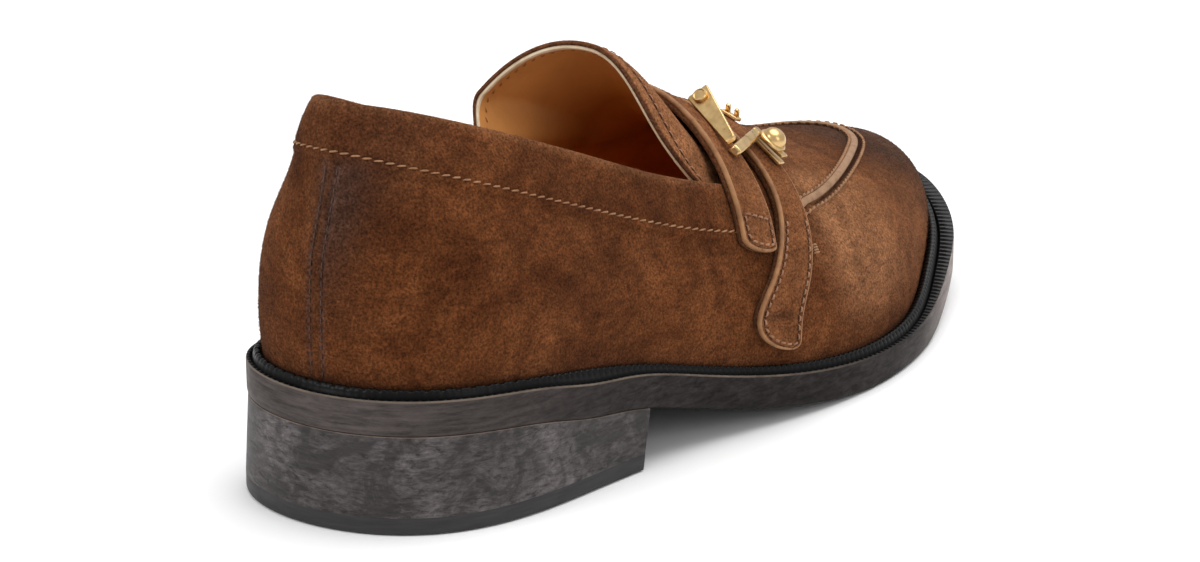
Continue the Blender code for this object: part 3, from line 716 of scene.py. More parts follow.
# The seam up the heel's back: places up the rib, places round the outline there, distance of its ridges
BACK_SEAM_V = (0.07, 0.32, 0.58)
BACK_SEAM_TURN = (0.0085, 0.0100, 0.0300)
BACK_RIDGE = 1.9

# The collar's inner back stands in from the last: depth, then the height of the most and its spread
HOLLOW_DEPTH = 2.5
HOLLOW_HEIGHT = (95.0, 15.0)

# The collar's edge stands a little higher just outside the back seam: rise, middle and width of its place
BACK_RISE = 1.4
BACK_RISE_SPAN = (0.035, 0.05)

# The apron's seam, in millimetres across it: piping, groove outside it, stitched lip, inner stitches
PIPING_HALF, PIPING_RISE, PIPING_SQUASH = 1.2, 0.6, 0.6
GROOVE_AT, LIP_AT, INNER_STITCH_AT = -1.9, -3.1, 1.7

# Relief and painted shade across the apron's seam, and relief beside the back seam: height, middle, width
APRON_RELIEF = ((0.6, 0.0, 1.3), (-1.0, GROOVE_AT, 0.6), (0.55, LIP_AT, 0.8), (-0.3, INNER_STITCH_AT, 0.6))
APRON_SHADE = ((0.9, GROOVE_AT, 0.7), (0.55, LIP_AT, 0.6), (0.7, INNER_STITCH_AT, 0.6))
BACK_RELIEF = ((0.5, 0.0, 1.0), (-0.45, BACK_RIDGE, 0.6), (0.25, 2.0 * BACK_RIDGE, 1.4))

# Where marks of the nap begin and end: heights under the collar's band, and lengths at the toe
UNDER_BAND = (105.0, 99.0)
TOE_ALONG, TOE_ACROSS, TIP_ALONG = (220.0, 255.0), (40.0, 10.0), (265.0, 292.0)

# Stitch rows, and the knot of thread at the front strap: its place, rise, coils and sizes
COLLAR_END, APRON_START = 136.0, 166.0
COLLAR_STITCH = {"pitch": 3.2, "length": 2.7, "width": 0.6, "height": 0.45, "slant": 0.3}
APRON_STITCH = {"pitch": 2.9, "length": 2.1, "width": 0.95, "height": 0.65, "slant": 0.25}
BACK_STITCH = {"pitch": 2.6, "length": 2.0, "width": 0.5}
TACK_PLACE = (166.4, 0.338)
TACK_RISE, TACK_COILS, TACK_LOOP, TACK_THREAD, TACK_HALF_LENGTH = 0.7, 3.5, 0.85, 0.34, 1.4

# Fibres of the nap: number, length, width, lean against the surface, and the way they are brushed
UPPER_FIBRES, TONGUE_FIBRES, STRAP_FIBRES = 130000, 6000, 5000
NAP_LENGTH = (0.35, 0.95)
NAP_WIDTH = 0.11
NAP_RISE, NAP_LEAN = 0.55, 0.8
NAP_BRUSH = (0.0, -0.3, -0.45)

# Soft creases on the upper. side: 1 outer, -1 inner. from y, v to y, v on the last, then width and depth
CREASES = (
    (1, 166.5, 0.36, 175.0, 0.29, 1.6, 0.55),
    (1, 166.5, 0.33, 172.0, 0.25, 1.5, 0.40),
    (1, 168.0, 0.41, 177.0, 0.40, 1.8, 0.35),
    (1, 178.0, 0.52, 190.0, 0.40, 4.0, 0.50),
    (1, 120.0, 0.12, 133.0, 0.26, 4.0, 0.45),
    (1, 92.0, 0.20, 112.0, 0.34, 6.0, 0.60),
    (1, 38.0, 0.16, 58.0, 0.40, 7.0, 0.50),
    (1, 66.0, 0.42, 98.0, 0.36, 6.0, 0.45),
    (-1, 172.0, 0.50, 186.0, 0.36, 4.0, 0.60),
    (-1, 182.0, 0.46, 196.0, 0.34, 4.5, 0.55),
    (-1, 96.0, 0.22, 122.0, 0.34, 6.0, 0.60),
)


def feather_line(turn):
    return outline(turn, margin(turn), welt_top(turn))


def rib_rows(seam, rim, forefoot):
    """Places of the grid's rows on each rib: even up the side, close at the seam, then to rim and spine."""
    foot = seam - SEAM_BELOW * SEAM_HALF_WIDTH
    head = seam + np.minimum(SEAM_ABOVE * SEAM_HALF_WIDTH, 0.8 * (rim - seam))
    rows = [foot * share for share in np.linspace(0.0, 1.0, SIDE_ROWS, endpoint=False)]
    rows += [foot + (head - foot) * share for share in np.linspace(0.0, 1.0, SEAM_ROWS, endpoint=False)]
    rows += [head + (rim - head) * share for share in np.linspace(0.0, 1.0, BAND_ROWS)]
    if forefoot:
        rows += [rim + (1.0 - rim) * share for share in np.linspace(0.0, 1.0, CAP_ROWS)[1:]]
    return np.array(rows)


def hump(value, middle, width):
    return np.exp(-((value - middle) / width) ** 2)


def humps(value, rows):
    """Sum of humps given as rows of height, middle and width."""
    return sum(height * hump(value, middle, width) for height, middle, width in rows)


def back_distance(turn, v):
    """Distance round the heel from its back seam, in millimetres, growing to the outer side."""
    step = 0.02
    start, end = (last_point(np.full(v.shape, place), v) for place in (0.0, step))
    scale = np.linalg.norm(end - start, axis=-1)
    return (signed_turn(turn) - np.interp(v, BACK_SEAM_V, BACK_SEAM_TURN)) * scale / step


def crease_depth(points):
    """How far the creases sink the suede at points of the last; a low ridge runs beside each trough."""
    depth = np.zeros(points.shape[:-1])
    for side, y_from, v_from, y_to, v_to, width, deep in CREASES:
        turns = turn_at(np.array([y_from, y_to]))
        ends = last_point(turns if side > 0 else 2.0 - turns, np.array([v_from, v_to]))
        run = ends[1] - ends[0]
        share = np.clip((points - ends[0]) @ run / (run @ run), 0.0, 1.0)
        away = np.linalg.norm(points - ends[0] - share[..., None] * run, axis=-1)
        taper = np.minimum(1.0, 5.0 * share * (1.0 - share))
        depth += deep * taper * (hump(away, 0.0, width) - 0.4 * hump(away, 2.4 * width, width))
    return depth


def hollow(turn, v):
    """How far the collar's inner back stands in from the last."""
    signed = signed_turn(turn)
    span = smooth(signed, 0.03, -0.03) * smooth(signed, -0.45, -0.25)
    return HOLLOW_DEPTH * span * hump(last_point(turn, v)[..., 2], *HOLLOW_HEIGHT)


def back_rise(turn, share):
    """How far the collar's back is drawn up, at a share of the way to its edge."""
    rise = BACK_RISE * hump(signed_turn(turn), *BACK_RISE_SPAN) * smooth(share, 0.85, 1.0)
    return vectors(0.0, 0.0, rise)


def millimetre(turn, v):
    """Share of a rib that is one millimetre long at a place."""
    step = 0.01
    run = last_point(turn, v + step) - last_point(turn, v - step)
    return 2.0 * step / np.linalg.norm(run, axis=-1)


def relief(turn, v, seam):
    """How far the suede stands out of the last: collar step, apron seam, back seam and creases."""
    y = welt_edge(turn)[..., 1]
    edge = (v - seam) / SEAM_HALF_WIDTH
    collar = (BAND_STEP * smooth(edge, -0.6, 0.3) - 0.3 * hump(edge, 1.2, 0.6)) * ramp(y, *BAND_FADE)
    apron = humps((v - seam) / millimetre(turn, seam), APRON_RELIEF) * ramp(y, *CORD_RISE)
    back = humps(np.abs(back_distance(turn, v)), BACK_RELIEF) * smooth(edge, 0.0, -1.5)
    return collar + apron + back - hollow(turn, v) - crease_depth(last_point(turn, v))


def apron_painted_shade(turn, v, seam):
    """Where shade is painted at the apron's seam: in its groove and under both its rows of stitches."""
    across = (v - seam) / millimetre(turn, seam)
    return humps(across, APRON_SHADE) * ramp(welt_edge(turn)[..., 1], *CORD_RISE)


def toe_share(points):
    """How far a point lies in the burnished toe."""
    return smooth(points[..., 1], *TOE_ALONG) * smooth(points[..., 0], *TOE_ACROSS)


def burnish_and_shade(turn, v, points):
    """Where the nap is darkened, by burnish and by painted shade: beside the back seam, at the collar's
    back, the toe and along the welt.
    """
    back = back_distance(turn, v)
    along, height = points[..., 1], points[..., 2]
    # painted shade in the trough beside the back seam
    beside = 0.45 * hump(np.abs(back), BACK_RIDGE, 0.9)
    bruise = 0.55 * hump(back, 6.0, 8.0) * smooth(height, 45.0, 80.0)
    collar = 0.40 * hump(back, 10.0, 18.0) * smooth(height, 70.0, 98.0)
    toe = toe_share(points) + 0.4 * smooth(along, *TIP_ALONG)
    foot = 0.55 * np.exp(-v / 0.03)
    return np.clip((beside + bruise) * smooth(height, *UNDER_BAND) + collar + toe + foot, 0.0, 0.95)


def dust_and_sheen(turn, v, points):
    """Where the nap is greyed by dust and a painted sheen: the back seam's ridges, the collar's back and
    the toe.
    """
    back = back_distance(turn, v)
    across, along, height = (points[..., k] for k in range(3))
    ridges = 0.50 * hump(np.abs(back), BACK_RIDGE + 0.4, 0.9) * smooth(height, 36.0, 50.0)
    bruise = 0.30 * hump(back, 4.0, 4.0) * smooth(height, 60.0, 92.0)
    toe = 0.40 * smooth(along, 236.0, 275.0) * smooth(across, 26.0, -6.0)
    return np.clip((ridges + bruise) * smooth(height, *UNDER_BAND) + toe, 0.0, 0.8)


def painted_light(v, points):
    """Where light is painted on the nap: the vamp ahead of the straps and, less so, the apron."""
    along = points[..., 1]
    apron = 1.0 - 0.72 * smooth(v, 0.56, 0.68)
    fore = 1.0 - 0.85 * smooth(along, 187.0, 230.0)
    return smooth(along, 164.0, 186.0) * smooth(v, 0.02, 0.27) * (1.0 - toe_share(points)) * apron * fore


def make_nap(piece, count, facing=1.0):
    """Short fibres that stand out of a suede piece, with its material and fields."""
    mesh = piece.data
    chance = np.random.default_rng(count)
    points, corners = np.empty(3 * len(mesh.vertices)), np.empty(len(mesh.loops), int)
    areas, normals = np.empty(len(mesh.polygons)), np.empty(3 * len(mesh.polygons))
    starts = np.empty(len(mesh.polygons), int)
    mesh.vertices.foreach_get("co", points)
    mesh.loops.foreach_get("vertex_index", corners)
    mesh.polygons.foreach_get("area", areas)
    mesh.polygons.foreach_get("normal", normals)
    mesh.polygons.foreach_get("loop_start", starts)
    points = (points.reshape(-1, 3) - SHIFT) / MM
    chosen = chance.choice(len(areas), count, p=areas / areas.sum())
    first, second, third = (corners[starts[chosen] + k] for k in range(3))
    normal = normals.reshape(-1, 3)[chosen] * facing
    root = (points[first] + (points[second] - points[first]) * chance.random((count, 1))
            + (points[third] - points[second]) * chance.random((count, 1)))
    lean = chance.normal(size=(count, 3))
    lean = unit(lean - normal * np.sum(lean * normal, axis=-1, keepdims=True))
    way = unit(normal * NAP_RISE + lean * NAP_LEAN + np.array(NAP_BRUSH) * chance.random((count, 1)))
    side = unit(np.cross(normal, way)) * (NAP_WIDTH / 2.0)
    tip = root + way * (NAP_LENGTH[0] + (NAP_LENGTH[1] - NAP_LENGTH[0]) * chance.random((count, 1)))
    blades = np.stack([root - side, root + side, tip], 1)
    fields = {}
    for name in ("burnish_and_shade", "dust_and_sheen", "painted_light"):
        if name in mesh.attributes:
            values = np.empty(len(mesh.vertices), np.float32)
            mesh.attributes[name].data.foreach_get("value", values)
            fields[name] = np.repeat(values[first], 3)
    add_piece(piece.name + "_nap", blades, np.arange(3 * count).reshape(-1, 3).tolist(),
              mesh.materials[0], "suede", fields=fields)


def collar_roll(turn, rim, seam):
    """Rows of the collar's rolled edge, which thins towards the throat."""
    up = unit(last_point(turn, rim) - last_point(turn, rim - 0.01))
    out = last_normal(turn, rim)
    radius = (ROLL * (1.0 - 0.8 * smooth(np.abs(turn), *ROLL_END)))[:, None]
    middle = last_point(turn, rim) + out * (relief(turn, rim, seam)[:, None] - radius)
    middle = middle + back_rise(turn, np.ones_like(turn))
    return [middle + out * (radius * math.cos(a)) + up * (radius * math.sin(a))
            for a in np.linspace(0.0, math.pi, ROLL_STEPS)[1:]]


def make_upper():
    points, faces, start = [], [], 0
    fields = {"burnish_and_shade": [], "dust_and_sheen": [], "painted_light": []}
    for first, last, count, forefoot in UPPER_ZONES:
        turn = even_turns(first, last, count, feather_line)
        seam, rim = seam_place(turn), rim_place(turn)
        v = rib_rows(seam, rim, forefoot)
        turn_grid = np.broadcast_to(turn, v.shape)
        rows = lifted(turn_grid, v, relief(turn_grid, v, seam)) + back_rise(turn_grid, v / rim)
        shades = [np.maximum(burnish_and_shade(turn_grid, v, rows), apron_painted_shade(turn_grid, v, seam)),
                  dust_and_sheen(turn_grid, v, rows), painted_light(v, rows)]
        if not forefoot:
            # painted light along the collar's edge
            shades[2] = shades[2] + RIM_LIGHT * hump((v - rim) / millimetre(turn, rim), 0.0, RIM_LIGHT_WIDTH)
            roll = collar_roll(turn, rim, seam)
            rows = np.concatenate([rows, roll])
            shades = [np.concatenate([shade, np.repeat(shade[-1:], len(roll), axis=0)]) for shade in shades]
        points.append(rows.reshape(-1, 3))
        for values, shade in zip(fields.values(), shades):
            values.append(shade.ravel())
        faces += grid_faces(len(rows), count, start)
        start += rows.shape[0] * count
    fields = {name: np.concatenate(values) for name, values in fields.items()}
    return add_piece("upper_suede", np.concatenate(points), faces, SUEDE, "suede", ("upper",),
                     fields=fields, weld=True)


def make_lining():
    """Lining up to the collar at the back, over the forefoot, and a little way under the rear strap."""
    parts = []
    for first, last, count, head, deeper in LINING_ZONES:
        turn = even_turns(first, last, count, feather_line)
        v = np.linspace(0.02, 1.0, LINING_ROWS)[:, None] * head(turn)
        turn_grid = np.broadcast_to(turn, v.shape)
        rows = lifted(turn_grid, v, LINING_DEPTH - deeper - hollow(turn_grid, v))
        rows += back_rise(turn_grid, v / head(turn))
        parts.append((rows.reshape(-1, 3), [face[::-1] for face in grid_faces(LINING_ROWS, count)]))
    points, faces = merge(parts)
    # depth paints shade and a glow into the lining
    add_piece("upper_lining", points, faces, LINING, "lining",
              fields={"depth": smooth(points[:, 2], *LINING_SHADE)}, weld=True)


def surface_path(turn, v, height):
    return lifted(turn, v, np.broadcast_to(height, np.shape(turn))), last_normal(turn, v)


def make_upper_seams():
    end = turn_at(COLLAR_END)
    collar = even_turns(-end, end, 400, feather_line)
    place = seam_place(collar) + 1.2 * SEAM_HALF_WIDTH
    path = surface_path(collar, place, BAND_STEP - 0.15 - hollow(collar, place))
    rows = [stitch_row(*path, **COLLAR_STITCH)]
    start = float(turn_at(APRON_START))
    apron = even_turns(start, 2.0 - start, 300, lambda t: lifted(t, seam_place(t), np.zeros_like(t)))
    line = seam_place(apron)
    for offset, height in ((INNER_STITCH_AT, 0.42), (LIP_AT, 0.68)):
        path = surface_path(apron, line + offset * millimetre(apron, line), height)
        rows.append(stitch_row(*path, **APRON_STITCH))
    add_piece("upper_stitches", *merge(rows), THREAD, "suede")
    tonal = []
    v = np.linspace(0.03, 0.97, 160) * float(seam_place(np.array([BACK_SEAM_TURN[-1]]))[0])
    middle = np.interp(v, BACK_SEAM_V, BACK_SEAM_TURN)
    for side in (-1.0, 1.0):
        reach = side * BACK_RIDGE / back_distance(np.full(v.shape, 1.0), v) * (1.0 - middle)
        tonal.append(stitch_row(*surface_path(middle + reach, v, -0.25), **BACK_STITCH))
    add_piece("back_stitches", *merge(tonal), TONAL_THREAD, "suede")
    cord = tube(*surface_path(apron, line, PIPING_RISE), PIPING_HALF, 14, PIPING_SQUASH)
    add_piece("apron_piping", *cord, PIPING, "suede")


def make_bar_tack():
    """Little knot of thread at the front strap's edge."""
    turn, v = turn_at(TACK_PLACE[0]), TACK_PLACE[1]
    up = last_normal(turn, v)
    centre = last_point(turn, v) + up * TACK_RISE
    along = unit(last_point(turn, v + 0.01) - last_point(turn, v - 0.01))
    across = np.cross(along, up)
    steps = 90
    swing = np.linspace(0.0, 2.0 * np.pi * TACK_COILS, steps)
    path = (centre + np.outer(np.cos(swing) * TACK_LOOP, across) + np.outer(np.sin(swing) * TACK_LOOP, up)
            + np.outer(np.linspace(-TACK_HALF_LENGTH, TACK_HALF_LENGTH, steps), along))
    add_piece("bar_tack", *tube(path, np.broadcast_to(along, path.shape), TACK_THREAD), THREAD, "suede")


make_nap(make_upper(), UPPER_FIBRES)
make_lining()
make_upper_seams()
make_bar_tack()


# Tongue

TONGUE_ROWS, TONGUE_STRIPS = 60, 140
TONGUE_STITCH = 0.89
TONGUE_GROOVE_DEPTH, TONGUE_GROOVE_WIDTH = 0.35, 0.018
# Strength of the painted shade in the tongue's stitch groove and of the painted light on the rest of its
# face
TONGUE_SHADE = 0.6

# Suede turned over the free edge, as shares of the thickness with its rise, and the raw edge inside it
TURN_OVER = ((0.10, 0.45), (0.35, 0.75), (0.60, 0.55))
RAW_EDGE_SHARE = (0.62, 0.98)
RAW_EDGE_OVERLAP, RAW_EDGE_LIFT = 0.03, 0.12

# Stitch rows: piece, place, depth, way out of the leather, thread and stitch length
TONGUE_LINES = (("tongue_stitches", TONGUE_STITCH, 0.05, 1.0, STRAP_THREAD, 2.3),
                ("lining_stitches", 0.95, TONGUE_THICKNESS + 0.02, -1.0, LINING_THREAD, 1.5))


def tongue_sheet(s, q, depth):
    """Points of the tongue: s from its root to the free edge, q from its inner to its outer side."""
    y, ahead, back, outer, inner, middle, side = (
        table_spline(TONGUE_COLUMNS, TONGUE, name)(s) for name in TONGUE_COLUMNS[1:])
    on_outer = q >= 0.0
    swing = np.where(on_outer, ahead * q ** 3, back * q)
    reach = 1.0 - np.where(on_outer, outer, inner)
    bow = np.cos(np.clip(q / TONGUE_OUTER_TUCK, 0.0, 1.0) * np.pi / 2.0)
    crown = np.where(on_outer, np.maximum(bow, 1e-9) ** (2.0 * s * s),
                     np.sin(ramp(-q, *TONGUE_TUCK) * np.pi / 2.0) ** 2)
    turn, v = strap_place(y + swing, 1.0 - q * reach)
    return lifted(turn, v, side + (middle - side) * crown - depth)


def make_tongue():
    s = np.linspace(0.0, 1.0, TONGUE_ROWS)[:, None]
    q = np.linspace(-1.0, 1.0, TONGUE_STRIPS)[None, :]
    s, q = np.broadcast_arrays(s, q)
    groove = hump(s, TONGUE_STITCH, TONGUE_GROOVE_WIDTH)
    top = tongue_sheet(s, q, TONGUE_GROOVE_DEPTH * groove)
    inside = tongue_sheet(s, q, np.full(s.shape, TONGUE_THICKNESS))
    through = inside[-1] - top[-1]
    rise = unit(top[-1] - top[-2])
    rolled = [top[-1] + through * share + rise * lip for share, lip in TURN_OVER]
    first, last = (top[-1] + through * share for share in RAW_EDGE_SHARE)
    suede = np.concatenate([top, rolled, first[None]])
    # painted shade in the stitch groove, the turned edge darker, painted light on the rest of the face
    dark_edge = np.full((len(suede) - TONGUE_ROWS, TONGUE_STRIPS), TONGUE_SHADE)
    shade = np.concatenate([TONGUE_SHADE * groove, dark_edge])
    face = add_piece("tongue_suede", suede, grid_faces(len(suede), TONGUE_STRIPS), LIT_SUEDE, "suede",
                     ("tongue",), fields={"burnish_and_shade": shade, "painted_light": TONGUE_SHADE - shade})
    make_nap(face, TONGUE_FIBRES, -1.0)
    places = q[-1]
    ragged = 1.0 + 0.3 * np.sin(47.0 * places) * np.sin(19.0 * places)
    ragged = 1.0 - RAW_EDGE_OVERLAP * hump(places, 0.1, 0.7) * ragged
    overlap = tongue_sheet(ragged, places, np.full(TONGUE_STRIPS, TONGUE_THICKNESS + RAW_EDGE_LIFT))
    edge = np.stack([first, first + rise * 0.25, last + rise * 0.15, inside[-1], overlap])
    add_piece("tongue_edge", edge, grid_faces(len(edge), TONGUE_STRIPS), RAW_EDGE, "lining")
    faces = [corners[::-1] for corners in grid_faces(TONGUE_ROWS, TONGUE_STRIPS)]
    # depth paints shade on the tongue's lining, towards its root and its outer side
    add_piece("tongue_lining", inside, faces, LINING, "lining",
              fields={"depth": 0.6 * smooth(s - 0.10 * q, 1.0, 0.3)})
    count = 300
    places = np.linspace(-0.98, 0.98, count)
    for name, inset, depth, flip, thread, length in TONGUE_LINES:
        along = np.full(count, inset)
        path = tongue_sheet(along, places, np.full(count, depth))
        normals = unit(path - tongue_sheet(along, places, np.full(count, depth + flip)))
        row = stitch_row(path, normals, length=length, width=0.7, slant=0.2)
        add_piece(name, *row, thread, "suede")


make_tongue()


# Straps

STRAP_STRIPS = 28
STRAP_TOP = STRAP_FIT + STRAP_THICKNESS
EDGE_INSET = 0.75
STITCH_INSET = 1.9
LOWER_EDGE = ((0.3, -STRAP_THICKNESS), (0.08, -2.6), (0.05, -2.0), (0.2, -1.45))
UPPER_EDGE = ((0.2, -1.45), (-0.05, -1.2), (-0.1, -0.8), (0.05, -0.32), (0.36, -0.05), (EDGE_INSET, 0.02))
# The edge's lower part is the suede darkened: painted shadow under the tan edge
STRAP_EDGES = (("_lower_edge", LOWER_EDGE, LIT_SUEDE), ("_edge", UPPER_EDGE, STRAP_EDGE))
STRAP_STITCH = {"pitch": 2.7, "length": 2.0, "width": 0.8, "height": 0.6}
STRAP_CROWN = 0.25
DENT_WIDTH, DENT_DEPTH, DENT_SHADE = 0.012, 0.8, 0.6


def strap_edges(rows, inner_end, tips, point, count=260):
    """Places v along a strap with its rear and front edges.

    tips are the lengths over which each edge rounds to the outer end, whose point is a share of the
    half width forward of the middle.
    """
    rear = table_spline(STRAP_COLUMNS, rows, "rear")
    width = table_spline(STRAP_COLUMNS, rows, "width")
    start, end = rows[0][0], 2.0 - inner_end
    v = start + (end - start) * (0.5 - 0.5 * np.cos(np.linspace(0.0, np.pi, count)))
    fold = np.where(v <= 1.0, v, 2.0 - v)
    middle = rear(fold) + width(fold) / 2.0
    edges = []
    for tip, side in zip(tips, (-1.0, 1.0)):
        narrow = np.clip(1.0 - (1.0 - ramp(v - start, 0.0, tip)) ** 2.5, 0.0, 1.0) ** 0.5
        edges.append(middle + width(fold) / 2.0 * (point * (1.0 - narrow) + side * narrow))
    return v, edges[0], edges[1]


def strap_ring(v, rear, front):
    """Function that gives the loop round a strap at an inset from its edge and a height over its top."""
    loop_v = np.concatenate([v, v[::-1]])
    loop_y = np.concatenate([rear, front[::-1]])
    turn, place = strap_place(loop_y, loop_v)
    line = lifted(turn, place, np.full(len(turn), STRAP_TOP))
    normals = last_normal(turn, place)
    along = unit(np.roll(line, -1, axis=0) - np.roll(line, 1, axis=0))
    out = unit(np.cross(along, normals))
    centre = (line + line[::-1]) / 2.0
    out *= np.sign(np.sum(out * (line - centre)))
    return lambda inset, height: line - out * inset + normals * height


def make_strap(name, rows, inner_end, tips, point, stitched_to, dent=None, box=None):
    """Strap with a thick tan edge, a suede face, and stitches round its outer end.

    dent is the place of a soft trough across it, box the place of a stitched line across it.
    """
    v, rear, front = strap_edges(rows, inner_end, tips, point)
    count = len(v)
    ring = strap_ring(v, rear, front)
    for part_name, profile, material in STRAP_EDGES:
        rings = np.stack([ring(inset, height) for inset, height in profile])
        add_piece(name + part_name, rings, grid_faces(len(rings), 2 * count, 0, True), material, "suede",
                  fields={"burnish_and_shade": np.full(rings.shape[:2], 0.6)})
    first, last = rings[-1][:count], rings[-1][:count - 1:-1]
    turn, place = strap_place((rear + front) / 2.0, v)
    normal = last_normal(turn, place)
    chord = (first + last) / 2.0
    crown = lifted(turn, place, np.full(count, STRAP_TOP + STRAP_CROWN))
    bulge = np.sum((crown - chord) * normal, axis=-1)
    share = np.linspace(0.0, 1.0, STRAP_STRIPS)[None, :]
    wide = np.linalg.norm(last - first, axis=-1)[:, None]
    inset = EDGE_INSET + np.minimum(share, 1.0 - share) * wide
    height = 4.0 * share * (1.0 - share) * bulge[:, None]
    sewn = smooth(v, stitched_to + 0.05, stitched_to)[:, None]
    height = height - 0.28 * hump(inset, STITCH_INSET, 0.5) * sewn
    # painted shade in the stitch groove and in the dent
    shade = 0.75 * hump(inset, STITCH_INSET, 0.55) * smooth(v, stitched_to + 0.02, stitched_to)[:, None]
    if dent is not None:
        trough = hump(v, dent, DENT_WIDTH)[:, None] * np.sin(np.pi * np.clip(share, 0.1, 0.9))
        height = height - DENT_DEPTH * trough
        shade = shade + DENT_SHADE * trough
    face = first[:, None] + (last - first)[:, None] * share[..., None] + normal[:, None] * height[..., None]
    top = add_piece(name + "_suede", face, grid_faces(count, STRAP_STRIPS), LIT_SUEDE, "suede", (name,),
                    fields={"burnish_and_shade": shade})
    make_nap(top, STRAP_FIBRES)
    stitched = v < stitched_to
    loop = ring(STITCH_INSET, -0.05)
    path = np.concatenate([loop[:count][stitched][::-1], loop[:count - 1:-1][stitched]])
    normals = np.concatenate([normal[stitched][::-1], normal[stitched]])
    lines = [stitch_row(path, normals, slant=0.1, **STRAP_STITCH)]
    if box is not None:
        row = int(np.searchsorted(v, box))
        across = face[row][3:-3]
        outward = np.broadcast_to(normal[row], across.shape)
        lines.append(stitch_row(across, outward, **STRAP_STITCH))
    add_piece(name + "_stitches", *merge(lines), STRAP_THREAD, "suede")


make_strap("rear_strap", REAR_STRAP, REAR_STRAP[0][0], (0.030, 0.020), 0.0, 0.40, box=0.40)
make_strap("front_strap", FRONT_STRAP, FRONT_STRAP_INNER_END, (0.085, 0.030), 0.55, 0.42, dent=0.145)


# Welt, sole and heel

# Ribs and bead of the welt, dip of its rim, and where round the outline lobes, pale line (a painted
# highlight) and painted shade end
RIB_COUNT = 300
RIB_COLUMNS = 12
BEAD_WIDTH = 3.2
BEAD_HEIGHT = 2.2
BEAD_GAP = 0.5
RIB_DEPTH = 0.36
NOTCH_DEPTH = 0.8
LOBED = (0.36, 0.24)
LOBE_DEPTH = 0.6
DIP_DEPTH = 2.2
DIP_SPAN = (68.0, 18.0)
LINED = (0.62, 0.45)
WELT_SHADE = 0.65
WELT_SHADE_END = (0.76, 0.64)
EDGE_ROWS = 4
# Strength of the painted highlight on the sole's edge at the heel and at the toe
HEEL_HIGHLIGHT, TOE_HIGHLIGHT = 0.25, 1.2

# Sole's edge: inset, share of the way up, rise. Lift: inset, height. Heel's layers: share, groove
SOLE_ROWS = ((1.2, 0.0, 0.0), (0.55, 0.0, 0.25), (0.2, 0.0, 0.9), (0.06, 0.25, 0.0), (0.03, 0.5, 0.0),
             (0.02, 0.75, 0.0), (0.02, 1.0, -0.02))
LIFT_ROWS = ((0.8, 0.0), (0.2, 0.25), (0.0, 0.9), (0.0, LIFT_THICKNESS - 0.25), (0.12, LIFT_THICKNESS))
LAYER_ROWS = ((0.0, 0.06), (0.05, 0.0), (0.95, 0.0), (1.0, 0.06))
HEEL_LAYERS, HEEL_COLUMNS = 4, 200


def dip(turn):
    """How far the welt's rim and the sole hang below the feather line, most just behind the breast."""
    return DIP_DEPTH * hump(welt_edge(turn)[..., 1], *DIP_SPAN)


def painted_highlight(turn):
    """Where a highlight is painted on the sole's edge: round the heel's back and at the sides of the toe.
    """
    away = np.abs(signed_turn(turn))
    return np.maximum(HEEL_HIGHLIGHT * smooth(away, 0.44, 0.02), TOE_HIGHLIGHT * hump(away, 0.76, 0.08))


